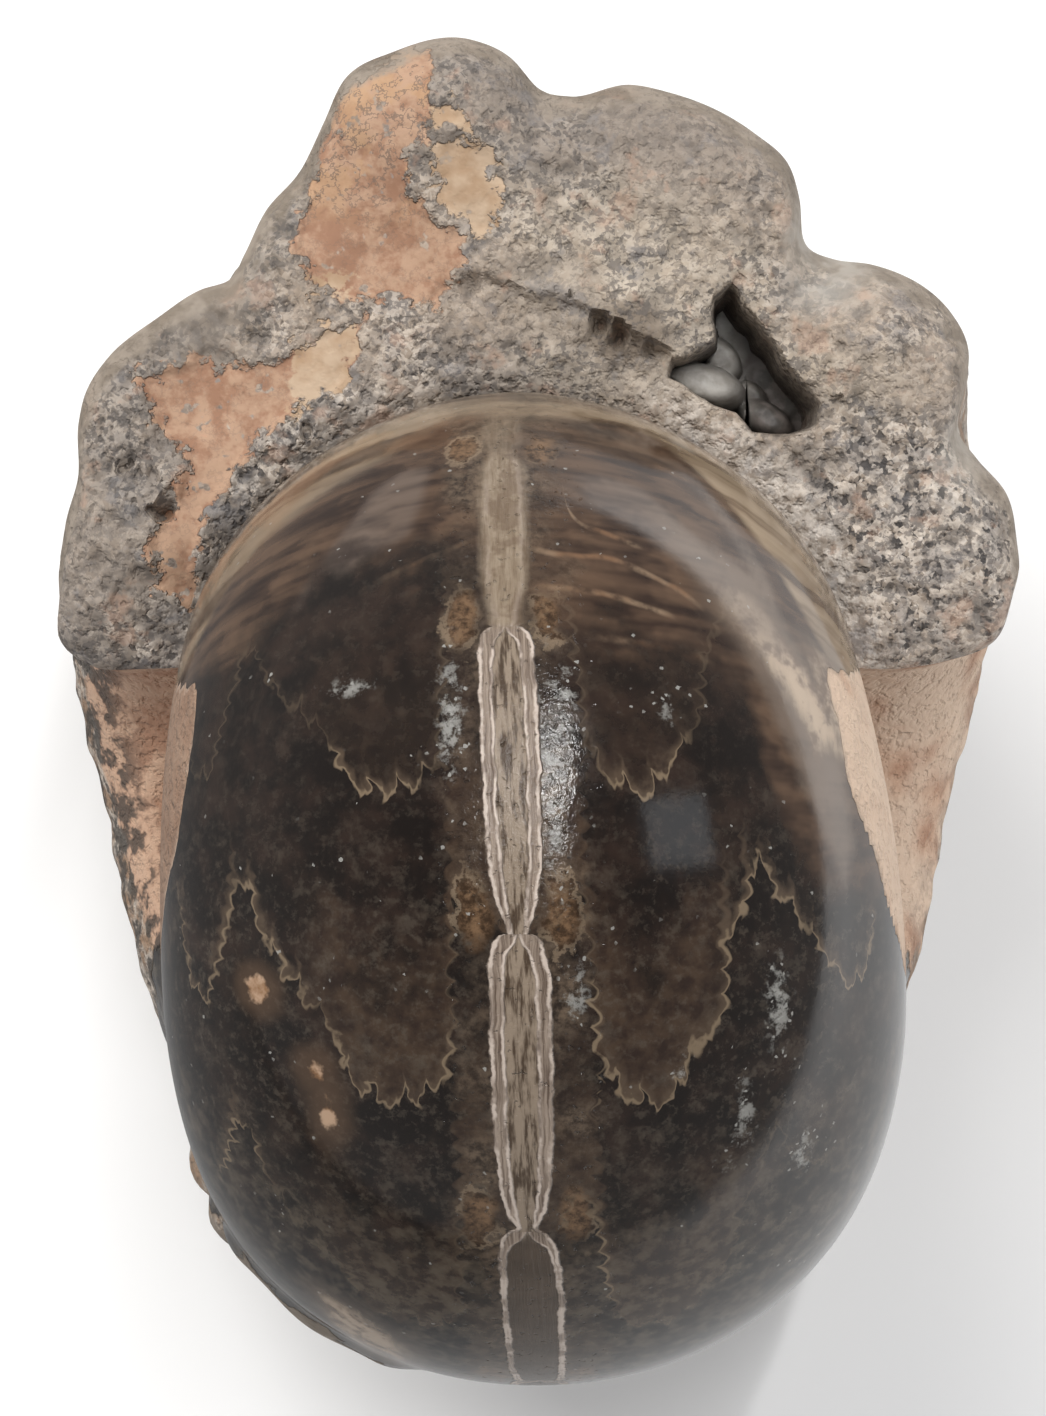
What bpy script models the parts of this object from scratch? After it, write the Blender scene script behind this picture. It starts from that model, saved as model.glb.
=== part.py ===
"""Polished ammonite fossil that lies on two ribs of its back, with calcite crystals in its broken face.

The coil turns about the X axis. The broken end of the outer whorl looks up, and the polished inner whorl
comes out from under it towards the front (-Y). `back` is the angle in degrees from the broken face
backwards along the coil: 90 is on the ground, 180 in front, 270 on top, and 360 is again under the face,
one whorl further in. `beta` goes round a whorl's cross-section in degrees: 0 is the middle of its outer
side (the venter), 90 the widest point, 180 the seam in the umbilicus; its sign is the side.
"""

import math

import bmesh
import bpy
import numpy as np
from mathutils import Matrix

MM = 0.001

# ---- driving dimensions of the coil ----
FACE_RADIUS = 67.0 * MM  # coil axis to the venter at the broken face
WHORL_GROWTH = 1.68  # how much the radius grows in one whorl
WIDEST_AT = 0.40  # radius of the widest point, as a share of the venter's
SEAM_AT = 0.223  # radius of the umbilical seam, as a share of the venter's
WALL_POWER = 0.7  # under 1 makes the umbilical shoulder boxy
ARCH_POWER = ((0, 1.0), (260, 1.0), (360, 1.09))  # (back, power): over 1 makes the arch less full
WHORL = 360.0

# ---- how it lies ----
ROLL = 84.3  # degrees from straight up, backwards, to the plane of the broken face
RESTING_RIBS = (84.0, 98.0)  # the ribs that it lies on
WORN_HALF_WIDTH = 1.8  # degrees to each side of a resting rib's crest that are worn flat
AXIS_AT = (-0.4 * MM, -11.0 * MM, 59.3 * MM)  # a point on the coil axis; the ground is at 0

HALF_BREADTH = (  # (back, half the whorl's width)
    (0, 42.3 * MM),
    (45, 43.1 * MM),
    (90, 40.2 * MM),
    (135, 36.2 * MM),
    (180, 33.3 * MM),
    (225, 33.1 * MM),
    (270, 32.2 * MM),
    (315, 30.7 * MM),
    (360, 29.5 * MM),
)
INNER_NARROWING = 1.6  # breadth lost in each whorl further in
MIDLINE_DRIFT = (  # (back, how far the coil wanders sideways)
    (0, 0.7 * MM),
    (60, -0.2 * MM),
    (110, -0.3 * MM),
    (180, 0.6 * MM),
    (215, 0.5 * MM),
    (250, 0.1 * MM),
    (310, -1.0 * MM),
    (360, -1.3 * MM),
)

# ---- ribs and tubercles of the unpolished outer whorl ----
RIB_STEP = 14.0  # degrees from rib to rib
RIB_HEIGHT = 1.3 * MM
TUBERCLE_ROWS = (  # (beta, half width in degrees, height) on each side
    (15.0, 9.0, 2.6 * MM),
    (38.0, 8.0, 1.3 * MM),
    (61.0, 9.0, 2.2 * MM),
    (92.0, 9.0, 0.7 * MM),
)
RIB_ENDS_AT = (76.0, 130.0)  # ribs fade out towards the umbilical wall
SULCUS_DEPTH = 1.2 * MM  # groove along the venter
SULCUS_WIDTH = 5.0
POLISH_STARTS = (152.0, 182.0)  # the polish takes the ribs off between these angles
RIM_BLEND = 30.0  # degrees over which the broken rim turns into regular ribs
BROKEN_RIM = (  # (beta, height over the plain section)
    (-180, 0.0 * MM), (-160, 0.8 * MM), (-140, 2.6 * MM), (-124, 3.6 * MM),
    (-106, 2.6 * MM), (-95, 2.5 * MM), (-88, 1.9 * MM), (-82, 1.1 * MM),
    (-75, 2.1 * MM), (-71, 2.3 * MM), (-66, 1.6 * MM), (-58, -0.8 * MM),
    (-52, -2.3 * MM), (-48, -3.7 * MM), (-44, -2.9 * MM), (-38, -1.0 * MM),
    (-31, 0.6 * MM), (-26, 3.5 * MM), (-22, 6.3 * MM), (-16, 7.2 * MM),
    (-7, 6.9 * MM), (-3, 5.0 * MM), (0, 2.2 * MM), (4, 1.5 * MM),
    (11, 3.4 * MM), (16, 3.5 * MM), (27, 2.4 * MM), (33, 1.2 * MM),
    (36, -0.6 * MM), (40, -3.5 * MM), (45, -2.9 * MM), (49, -0.8 * MM),
    (60, 2.4 * MM), (65, 2.2 * MM), (70, 0.2 * MM), (74, -1.5 * MM),
    (79, -0.4 * MM), (84, 1.8 * MM), (90, 2.5 * MM), (105, 2.6 * MM),
    (120, 3.0 * MM), (140, 1.6 * MM), (180, 0.0 * MM),
)

# ---- relief of the broken face: x to the side, h up from the coil axis, in the face's plane ----
FACE_PILLOW = 2.2 * MM  # how far the middle of the stone stands forward of its edges
FACE_LUMPS = (  # (x, h, radius, height)
    (-9.0 * MM, 66.0 * MM, 7.5 * MM, 2.0 * MM),
    (15.0 * MM, 61.0 * MM, 8.0 * MM, 1.6 * MM),
    (34.0 * MM, 44.0 * MM, 7.0 * MM, 2.4 * MM),
    (39.0 * MM, 24.0 * MM, 7.0 * MM, 1.8 * MM),
    (-37.0 * MM, 25.0 * MM, 7.0 * MM, 2.0 * MM),
    (-30.0 * MM, 42.0 * MM, 8.0 * MM, -1.4 * MM),
    (-16.0 * MM, 55.0 * MM, 9.0 * MM, -1.2 * MM),
    (9.0 * MM, 48.0 * MM, 5.0 * MM, 1.8 * MM),
    (27.0 * MM, 52.0 * MM, 4.5 * MM, -2.2 * MM),
    (2.5 * MM, 67.0 * MM, 4.0 * MM, -1.8 * MM),
)

# ---- hollow in the face and the crystals in it ----
HOLLOW_AT = (20.5 * MM, 43.0 * MM)  # (x, h) of its middle
HOLLOW_RIM = (  # (x, h) from its middle
    (-2.7 * MM, 6.8 * MM),
    (-0.6 * MM, 5.4 * MM),
    (1.7 * MM, 2.0 * MM),
    (4.4 * MM, -1.4 * MM),
    (6.4 * MM, -4.2 * MM),
    (5.0 * MM, -6.2 * MM),
    (1.6 * MM, -6.0 * MM),
    (-2.4 * MM, -4.4 * MM),
    (-6.6 * MM, -2.6 * MM),
    (-7.4 * MM, 0.2 * MM),
    (-4.4 * MM, 1.4 * MM),
    (-4.0 * MM, 4.0 * MM),
)
HOLLOW_DEPTH = 9.0 * MM
HOLLOW_MOUTH = 12.0 * MM  # how far its cutter stands out in front
CRYSTAL_GAP = 0.35 * MM
CRYSTALS = (  # (x, h from the hollow's middle, depth under the plane, edge length, turn in degrees)
    (-4.0 * MM, -1.2 * MM, 3.2 * MM, 5.0 * MM, 24.0),
    (-1.6 * MM, 1.8 * MM, 5.4 * MM, 4.2 * MM, 63.0),
    (2.6 * MM, -4.6 * MM, 5.0 * MM, 4.6 * MM, 8.0),
    (-0.4 * MM, -2.6 * MM, 6.6 * MM, 4.4 * MM, 41.0),
    (4.4 * MM, -2.0 * MM, 8.0 * MM, 4.6 * MM, 75.0),
    (-2.2 * MM, 4.6 * MM, 8.2 * MM, 3.8 * MM, 30.0),
)
RHOMB_LEAN = 15.0  # degrees that a calcite rhomb's sides lean
CRUST_THICKNESS = 2.4 * MM
CRUST_WIDTH = 20.0 * MM  # wider than the hollow, whose space trims it

# ---- small pits in the broken face: (x, h, radius) of the ball that leaves each one ----
PITS = (
    (8.0 * MM, 45.6 * MM, 2.4 * MM),
    (3.2 * MM, 46.8 * MM, 1.7 * MM),
    (11.6 * MM, 43.4 * MM, 1.6 * MM),
)
PIT_LEVEL = 3.0 * MM  # height of the balls' middles over the face's plane

# ---- how finely the loft is divided ----
SECTION_BETAS = (0, 5, 10, 16, 22, 28, 35, 42, 48, 55, 62, 69, 76, 82, 88)
WALL_SHARES = (0.0, 0.09, 0.19, 0.31, 0.45, 0.61, 0.80, 1.0)  # from the overlap in to the seam
NORMAL_STEP = 0.5  # degrees to each side, over which the section's slope is read
RIBBED_STEP = 3.5  # degrees between sections where there are ribs
POLISHED_STEP = 11.0
SHARP_ANGLE = math.radians(35.0)  # steeper edges stay crisp, gentler ones are shaded smooth

OUTER_ROWS = np.concatenate(
    (
        np.arange(0.0, POLISH_STARTS[1], RIBBED_STEP),
        np.linspace(POLISH_STARTS[1], WHORL, round((WHORL - POLISH_STARTS[1]) / POLISHED_STEP) + 1),
        [rib + side * WORN_HALF_WIDTH for rib in RESTING_RIBS for side in (-1, 1)],
    )
)
OUTER_ROWS.sort()


def smoothstep(value, low, high):
    """0 below low, 1 above high, and a smooth S between them."""
    share = np.clip((value - low) / (high - low), 0.0, 1.0)
    return share * share * (3.0 - 2.0 * share)


def through_points(points, at):
    """A smooth curve through (position, value) points: cubic Hermite spans between them."""
    px, py = np.array(points, float).T
    slopes = np.gradient(py, px)
    span = np.clip(np.searchsorted(px, at, side="right") - 1, 0, len(px) - 2)
    width = px[span + 1] - px[span]
    t = np.clip((at - px[span]) / width, 0.0, 1.0)
    return (
        (1 + 2 * t) * (1 - t) ** 2 * py[span]
        + t * (1 - t) ** 2 * width * slopes[span]
        + t * t * (3 - 2 * t) * py[span + 1]
        - t * t * (1 - t) * width * slopes[span + 1]
    )


def venter_radius(back):
    """Logarithmic spiral: the radius shrinks by WHORL_GROWTH in each whorl back."""
    return FACE_RADIUS * WHORL_GROWTH ** (-back / WHORL)


def half_breadth(back):
    """Half the whorl's width: through HALF_BREADTH on the outer whorl, then a steady narrowing."""
    outer = through_points(HALF_BREADTH, np.minimum(back, WHORL))
    return outer * INNER_NARROWING ** (-np.maximum(back - WHORL, 0.0) / WHORL)


def wall_sine(share):
    """How far round the umbilical wall, as a sine, its radius is this share of the venter's."""
    return ((WIDEST_AT - share) / (WIDEST_AT - SEAM_AT)) ** (1.0 / WALL_POWER)


# The next whorl's seam lies at this beta, and holds this share of the wall's breadth there.
OVERLAP_ANGLE = math.asin(wall_sine(SEAM_AT * WHORL_GROWTH))
OVERLAP_BETA = 90.0 + math.degrees(OVERLAP_ANGLE)
OVERLAP_SHARE = math.cos(OVERLAP_ANGLE) ** WALL_POWER


def seam_breadth(back):
    """Half width at the umbilical seam, where the whorl sits on the one before it."""
    below = half_breadth(back + WHORL)
    return OVERLAP_SHARE * below + (1.0 - OVERLAP_SHARE) * half_breadth(back + 2.0 * WHORL)


def midline(back, beta):
    """The coil's sideways drift. The wall's foot follows the whorl that it stands on."""
    own = through_points(MIDLINE_DRIFT, np.minimum(back, WHORL))
    below = through_points(MIDLINE_DRIFT, np.full_like(back, WHORL))
    return own + (below - own) * smoothstep(np.abs(beta), OVERLAP_BETA, 180.0)


def plain_section(back, beta):
    """A cross-section without ornament, as (x, radius): half an ellipse from the venter to the widest
    point, then a rounded wall in to the seam."""
    angle = np.abs(beta)
    arch = np.radians(np.minimum(angle, 90.0))
    wall = np.radians(np.clip(angle - 90.0, 0.0, 90.0))
    breadth, seam = half_breadth(back), seam_breadth(back)
    power = through_points(ARCH_POWER, np.minimum(back, WHORL))
    on_arch = breadth * np.sin(arch) ** power
    on_wall = seam + (breadth - seam) * np.cos(wall) ** WALL_POWER
    arch_share = WIDEST_AT + (1.0 - WIDEST_AT) * np.maximum(np.cos(arch), 0.0) ** power
    wall_share = WIDEST_AT - (WIDEST_AT - SEAM_AT) * np.sin(wall) ** WALL_POWER
    share = np.where(angle <= 90.0, arch_share, wall_share)
    side = np.sign(beta) * np.where(angle <= 90.0, on_arch, on_wall)
    return side + midline(back, beta), venter_radius(back) * share


def ornament(back, beta):
    """Height of the ribs, tubercles and venter groove over the plain section."""
    angle = np.abs(beta)
    rib = 0.5 + 0.5 * np.cos(2.0 * np.pi * back / RIB_STEP)
    tubercles = sum(high * np.exp(-(((angle - at) / wide) ** 2)) for at, wide, high in TUBERCLE_ROWS)
    size = venter_radius(back) / FACE_RADIUS
    ribs = (RIB_HEIGHT * (1.0 - smoothstep(angle, *RIB_ENDS_AT)) + tubercles) * rib * size
    groove = SULCUS_DEPTH * np.exp(-((beta / SULCUS_WIDTH) ** 2))
    regular = (ribs - groove) * (1.0 - smoothstep(back, *POLISH_STARTS))
    rim = through_points(BROKEN_RIM, beta)
    return rim + (regular - rim) * smoothstep(back, 0.0, RIM_BLEND)


def section(back, beta):
    """The finished cross-section, as (x, radius): the plain one, lifted by the ornament along its normal."""
    x, radius = plain_section(back, beta)
    x_past, radius_past = plain_section(back, np.minimum(beta + NORMAL_STEP, 180.0))
    x_before, radius_before = plain_section(back, np.maximum(beta - NORMAL_STEP, -180.0))
    run, rise = x_past - x_before, radius_past - radius_before
    length = np.hypot(run, rise)
    lift = ornament(back, beta)
    return x - rise / length * lift, radius + run / length * lift


def on_coil(x, radius, back):
    """Places section points: the section's plane holds the coil axis and is turned back by `back`."""
    angle = np.radians(back + ROLL)
    return np.stack((x, np.sin(angle) * radius, np.cos(angle) * radius), -1) + AXIS_AT


def on_face(x, h, forward):
    """Places points of the broken face: x to the side, h up its plane, `forward` out of it."""
    tilt = math.radians(ROLL)
    y = math.sin(tilt) * h - math.cos(tilt) * forward
    return np.stack((x, y, math.cos(tilt) * h + math.sin(tilt) * forward), -1) + AXIS_AT


def coil_patch(backs, betas):
    """The whorl's surface over a grid of back and beta."""
    back, beta = np.meshgrid(np.array(backs, float), np.array(betas, float), indexing="ij")
    return on_coil(*section(back, beta), back)


def wall_betas():
    """The betas from where the next whorl's seam lies in to this whorl's own seam."""
    return OVERLAP_BETA + (180.0 - OVERLAP_BETA) * np.array(WALL_SHARES)


def face_relief(x, h, along, across):
    """How far the broken stone stands forward: a pillow that meets the edges, with its lumps and dips."""
    edge = 1.0 - np.abs(2.0 * along - 1.0) ** 3
    end = 1.0 - np.abs(across) ** 8
    height = FACE_PILLOW
    for lump_x, lump_h, wide, up in FACE_LUMPS:
        height = height + up * np.exp(-((x - lump_x) ** 2 + (h - lump_h) ** 2) / wide**2)
    return height * edge * end


def face_patch(betas):
    """The broken face, from the polished whorl out to the rim. Straight lines join equal betas, and the
    last ones bend to follow the umbilical wall at each foot of the horseshoe."""
    betas = np.array(betas, float)
    steps = len(WALL_SHARES)
    along = np.linspace(0.0, 1.0, steps)[:, None]
    across = (betas / OVERLAP_BETA)[None, :]
    inner = np.stack(section(np.full_like(betas, WHORL), betas))[:, None, :]
    outer = np.stack(section(np.zeros_like(betas), betas))[:, None, :]
    flat = inner + (outer - inner) * along
    for side, column in ((-1.0, 0), (1.0, -1)):
        wall = np.stack(section(np.zeros(steps), side * wall_betas()[::-1]))[:, :, None]
        straight = flat[:, :, column][:, :, None]
        flat = flat + (wall - straight) * np.maximum(side * across, 0.0) ** 6
    x, h = flat
    return on_face(x, h, face_relief(x, h, along, across))


def add_grid(mesh, points):
    """Adds a grid of points to a bmesh as quads, and gives its vertices row by row."""
    rows = [[mesh.verts.new(p) for p in row] for row in points]
    for row, following in zip(rows, rows[1:]):
        for i in range(len(row) - 1):
            mesh.faces.new((row[i], row[i + 1], following[i + 1], following[i]))
    return rows


def add_umbilicus(mesh, side):
    """One visible inner whorl in the umbilicus, and the stone plug that fills the rest of it."""
    whorl = coil_patch(WHORL + OUTER_ROWS, side * wall_betas())
    add_grid(mesh, whorl)
    rim = np.concatenate((whorl[:, -1], whorl[-1, -2::-1]))
    middle = rim.mean(axis=0)
    rings = [middle + (rim - middle) * share for share in (1.0, 0.55)]
    ring = add_grid(mesh, rings)[-1]
    centre = mesh.verts.new(middle)
    for a, b in zip(ring, ring[1:]):
        mesh.faces.new((a, b, centre))


def material(name, colour, roughness):
    """A plain Principled finish."""
    made = bpy.data.materials.new(name)
    made.use_nodes = True
    shader = made.node_tree.nodes["Principled BSDF"]
    shader.inputs["Base Color"].default_value = (*colour, 1.0)
    shader.inputs["Roughness"].default_value = roughness
    shader.inputs["Metallic"].default_value = 0.0
    return made


def add_object(name, mesh, finish, collection):
    """Turns a bmesh into a named object with its finish, in a collection."""
    data = bpy.data.meshes.new(name)
    mesh.to_mesh(data)
    mesh.free()
    made = bpy.data.objects.new(name, data)
    if finish:
        data.materials.append(finish)
        data.shade_smooth()
        data.set_sharp_from_angle(angle=SHARP_ANGLE)
    collection.objects.link(made)
    return made


def make_fossil(collection):
    """The whole coil as one closed loft: outer whorl, broken face, and both umbilici."""
    mesh = bmesh.new()
    half = np.array((*SECTION_BETAS, OVERLAP_BETA), float)
    covered = np.concatenate((-half[:0:-1], half))
    wall = wall_betas()[1:]
    add_grid(mesh, coil_patch(OUTER_ROWS, np.concatenate((-wall[::-1], covered, wall))))
    add_grid(mesh, face_patch(covered))
    for side in (-1.0, 1.0):
        add_umbilicus(mesh, side)
    bmesh.ops.remove_doubles(mesh, verts=mesh.verts, dist=0.02 * MM)
    for vert in mesh.verts:
        vert.co.z = max(vert.co.z, 0.0)  # the worn tops of the resting ribs
    bmesh.ops.recalc_face_normals(mesh, faces=mesh.faces)
    return add_object("ammonite", mesh, material("fossil_stone", (0.16, 0.12, 0.09), 0.35), collection)


def inset_outline(outline, inset):
    """Moves each side of a clockwise outline inwards by `inset`; corners are mitred."""
    sides = np.roll(outline, -1, axis=0) - outline
    normals = np.stack((sides[:, 1], -sides[:, 0]), -1) / np.linalg.norm(sides, axis=1, keepdims=True)
    before = np.roll(normals, 1, axis=0)
    mitre = (normals + before) / (1.0 + np.sum(normals * before, axis=1, keepdims=True))
    return outline + inset * mitre


def hollow_space(name, inset, depth, collection):
    """The hollow's space from its mouth down to `depth`, drawn in by `inset` from its walls."""
    mesh = bmesh.new()
    rim = inset_outline(np.array(HOLLOW_RIM), inset) + HOLLOW_AT
    rings = [[mesh.verts.new(p) for p in on_face(*rim.T, level)] for level in (HOLLOW_MOUTH, -depth)]
    mesh.faces.new(rings[0])
    mesh.faces.new(rings[1])
    for i in range(len(rim)):
        mesh.faces.new((rings[0][i - 1], rings[0][i], rings[1][i], rings[1][i - 1]))
    bmesh.ops.recalc_face_normals(mesh, faces=mesh.faces)
    return as_guide(add_object(name, mesh, None, collection))


def as_guide(made):
    """Marks an object that only cuts others."""
    made.hide_render = True
    made.display_type = "WIRE"
    return made


def pit(name, x, h, radius, collection):
    """A ball that leaves a small pit where it stands on the broken face."""
    mesh = bmesh.new()
    place = Matrix.Translation(on_face(x, h, PIT_LEVEL))
    bmesh.ops.create_icosphere(mesh, subdivisions=2, radius=radius, matrix=place)
    return as_guide(add_object(name, mesh, None, collection))


def rhomb(name, x, h, depth, edge, turn, collection):
    """One calcite block: a cube sheared into a rhomb, turned, and set on end in the hollow."""
    mesh = bmesh.new()
    lean = math.tan(math.radians(RHOMB_LEAN))
    shear = Matrix(((1, lean, lean, 0), (0, 1, lean, 0), (0, 0, 1, 0), (0, 0, 0, 1)))
    spin = Matrix.Rotation(math.radians(turn), 4, (0.4, -0.8, 0.45))
    place = Matrix.Translation(on_face(x + HOLLOW_AT[0], h + HOLLOW_AT[1], -depth))
    bmesh.ops.create_cube(mesh, size=edge, matrix=place @ spin @ shear)
    return as_guide(add_object(name, mesh, None, collection))


def boolean(target, cutter, operation):
    """Adds a Boolean modifier with Blender's exact solver."""
    modifier = target.modifiers.new(cutter.name, "BOOLEAN")
    modifier.operation = operation
    modifier.solver = "EXACT"
    modifier.object = cutter


def make_crystals(collection, guides):
    """The crust in the hollow: a floor of calcite and the rhombs grown out of it, in one solid that
    stands clear of the hollow's walls."""
    finish = material("calcite", (0.42, 0.41, 0.40), 0.22)
    mesh = bmesh.new()
    place = Matrix.Translation(on_face(*HOLLOW_AT, CRUST_THICKNESS / 2.0 - HOLLOW_DEPTH))
    tilt = Matrix.Rotation(math.radians(90.0 - ROLL), 4, "X")
    size = Matrix.Diagonal((CRUST_WIDTH, CRUST_WIDTH, CRUST_THICKNESS, 1.0))
    bmesh.ops.create_cube(mesh, size=1.0, matrix=place @ tilt @ size)
    crust = add_object("calcite_crystals", mesh, finish, collection)
    for number, place in enumerate(CRYSTALS, 1):
        boolean(crust, rhomb(f"rhomb_{number}", *place, guides), "UNION")
    clear = hollow_space("clear_space", CRYSTAL_GAP, HOLLOW_DEPTH - CRYSTAL_GAP, guides)
    boolean(crust, clear, "INTERSECT")
    return crust


def clear_scene():
    """Starts from an empty scene."""
    for old in list(bpy.data.objects):
        bpy.data.objects.remove(old)


def new_collection(name):
    """A collection linked to the scene."""
    made = bpy.data.collections.new(name)
    bpy.context.scene.collection.children.link(made)
    return made


def main():
    """Builds the fossil, cuts its hollow and pits, and sets the crystals in the hollow."""
    clear_scene()
    parts = new_collection("ammonite_fossil")
    guides = new_collection("guides")
    fossil = make_fossil(parts)
    boolean(fossil, hollow_space("hollow", 0.0, HOLLOW_DEPTH, guides), "DIFFERENCE")
    for number, place in enumerate(PITS, 1):
        boolean(fossil, pit(f"pit_{number}", *place, guides), "DIFFERENCE")
    make_crystals(parts, guides)


main()
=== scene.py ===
# %% [markdown]
# # An ammonite fossil, polished down to its chambers
#
# The object is a coiled shell turned to stone. Half of its outer whorl is still ribbed and crusted with
# sandstone. The rest was ground away and polished, so the inner whorl shows its dark chambers, the frilled
# lines between them and the tube, or siphuncle, along its middle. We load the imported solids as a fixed
# frame, and then build the fine surface over them.

# %% Load the frame
import math

import bmesh
import bpy
import numpy as np
from mathutils import Matrix, Vector


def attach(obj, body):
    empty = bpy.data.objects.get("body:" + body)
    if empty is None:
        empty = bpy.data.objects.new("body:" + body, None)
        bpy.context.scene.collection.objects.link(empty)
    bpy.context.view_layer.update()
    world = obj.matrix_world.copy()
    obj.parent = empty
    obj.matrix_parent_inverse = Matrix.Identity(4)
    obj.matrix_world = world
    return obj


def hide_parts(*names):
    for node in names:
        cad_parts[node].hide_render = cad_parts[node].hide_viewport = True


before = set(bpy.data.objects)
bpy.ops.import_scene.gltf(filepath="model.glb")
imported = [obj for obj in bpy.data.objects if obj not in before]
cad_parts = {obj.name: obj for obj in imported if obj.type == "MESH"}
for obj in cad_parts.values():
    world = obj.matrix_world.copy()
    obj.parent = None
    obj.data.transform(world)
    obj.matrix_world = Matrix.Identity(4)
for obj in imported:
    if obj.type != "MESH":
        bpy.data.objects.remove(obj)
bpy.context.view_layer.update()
MM = 0.001

# %% [markdown]
# ## Where everything is
#
# The coil turns about the X axis. `back` is the angle in degrees from the broken face backwards along the
# coil: 90 is on the ground, 180 in front, 270 on top, and 360 is again under the face, one whorl further
# in. `beta` goes round a whorl's cross-section: 0 is the middle of its outer side, 90 the widest point, and
# 180 the seam in the umbilicus. Its sign is the side. Points on the broken face have x to the side, h up
# the face from the coil axis, and `forward` out of it.

# %% The coil's place and how it lies
ROLL = math.radians(84.3)
AXIS_AT = np.array((-0.4, -11.0, 59.3)) * MM
UP_FACE = np.array((0.0, math.sin(ROLL), math.cos(ROLL)))
OUT_OF_FACE = np.array((0.0, -math.cos(ROLL), math.sin(ROLL)))


def on_coil(x, radius, back):
    """Point = axis + x sideways + radius along the direction that is turned back by `back`."""
    angle = np.radians(back) + ROLL
    return np.stack((x, np.sin(angle) * radius, np.cos(angle) * radius), -1) + AXIS_AT


def on_face(x, h, forward):
    """Point = axis + x sideways + h up the face + forward out of it."""
    x, h, forward = (value[..., None] for value in np.broadcast_arrays(x, h, forward))
    return x * np.array((1.0, 0.0, 0.0)) + h * UP_FACE + forward * OUT_OF_FACE + AXIS_AT


print("the coil's axis crosses", AXIS_AT / MM, "mm")

# %% [markdown]
# ## Camera
#
# The fossil lies on its back, and the camera looks down on it, square to the broken face. An aim constraint
# would leave its turn about the view free, so its three axes are set to the face's own.

# %% Camera
CAMERA_AT = (-0.65 * MM, 11.07 * MM, 342.5 * MM)  # sideways, up the face and out of it, from the coil axis
SENSOR = 36.0
LENS = 93.6


def put(name, data):
    """A new object in the scene."""
    made = bpy.data.objects.new(name, data)
    bpy.context.collection.objects.link(made)
    return made


def add_camera():
    """A camera whose own axes are the face's: x sideways, y up the face, z out of it."""
    data = bpy.data.cameras.new("camera")
    data.sensor_fit = "VERTICAL"
    data.sensor_height, data.lens, data.clip_start = SENSOR, LENS, 0.01
    axes = Matrix((Vector((1, 0, 0)), Vector(UP_FACE), Vector(OUT_OF_FACE))).transposed()
    made = put("camera", data)
    made.matrix_world = Matrix.Translation(Vector(on_face(*CAMERA_AT))) @ axes.to_4x4()
    bpy.context.scene.camera = made


add_camera()
print("camera, in mm:", [round(value / MM, 1) for value in bpy.context.scene.camera.matrix_world.translation])

# %% [markdown]
# ## A short way to write node trees
#
# A finish is a formula worked out at each point of a surface. Its nodes could be placed and linked one by
# one, but the formula would be lost among them. `Field` wraps an output socket, so that sums and products of
# Fields make Math nodes and the script reads as the formula does.


# %% Fields
class Field:
    """A number, vector or colour worked out at every point; + - * / ** and abs make Math nodes."""

    def __init__(self, socket):
        self.socket, self.tree = socket, socket.id_data

    def __rsub__(self, other):
        return combine("SUBTRACT", other, self)


SIGNS = {
    "add": "ADD", "radd": "ADD", "sub": "SUBTRACT", "mul": "MULTIPLY", "rmul": "MULTIPLY",
    "truediv": "DIVIDE", "pow": "POWER", "abs": "ABSOLUTE",
}
for sign, operation in SIGNS.items():
    setattr(Field, f"__{sign}__", lambda *values, operation=operation: combine(operation, *values))


def fill(node, values):
    """Gives a node's inputs, by name or number, what they read: Fields or plain values."""
    for name, value in values.items():
        socket = node.inputs[name]
        if isinstance(value, Field):
            node.id_data.links.new(value.socket, socket)
        else:
            socket.default_value = (*value, 1.0) if socket.type == "RGBA" else value


def add_node(tree, kind, inputs, **settings):
    """A node with its settings and its inputs."""
    made = tree.nodes.new("ShaderNode" + kind)
    for name, value in settings.items():
        setattr(made, name, value)
    fill(made, inputs)
    return made


# %% Nodes over Fields
def source(tree, kind, output, **settings):
    """What a node without inputs gives."""
    return Field(add_node(tree, kind, {}, **settings).outputs[output])


def over(kind, values, **settings):
    """The first output of a node over Fields and numbers, in the order of its inputs."""
    tree = next(value.tree for value in values if isinstance(value, Field))
    return Field(add_node(tree, kind, dict(enumerate(values)), **settings).outputs[0])


def combine(operation, *values):
    """One Math node."""
    return over("Math", values, operation=operation)


def vector(*values):
    """A vector from three numbers."""
    return over("CombineXYZ", values)


def ramp(*values, kind="LINEAR"):
    """A Field on a straight way: over value, low, high, at_low and at_high, and level outside low..high."""
    return over("MapRange", values, interpolation_type=kind)


def smooth(value, none, full):
    """The smoothstep of a Field: 0 where it is at `none` and 1 at `full`, whichever of them is higher."""
    ends = (full, none, 1.0, 0.0) if none > full else (none, full, 0.0, 1.0)
    return ramp(value, *ends, kind="SMOOTHSTEP")


def parts(place):
    """The x, y and z of a vector."""
    return [Field(socket) for socket in add_node(place.tree, "SeparateXYZ", {0: place}).outputs]


def mix(share, first, second):
    """A blend of two colours: first where share is 0, second where it is 1."""
    made = add_node(share.tree, "Mix", {}, data_type="RGBA")
    fill(made, {0: share, 6: first, 7: second})
    return Field(made.outputs[2])


def start_material(name):
    """A material, its tree and its Principled shader."""
    made = bpy.data.materials.new(name)
    made.use_nodes = True
    return made, made.node_tree, made.node_tree.nodes["Principled BSDF"]


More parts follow.
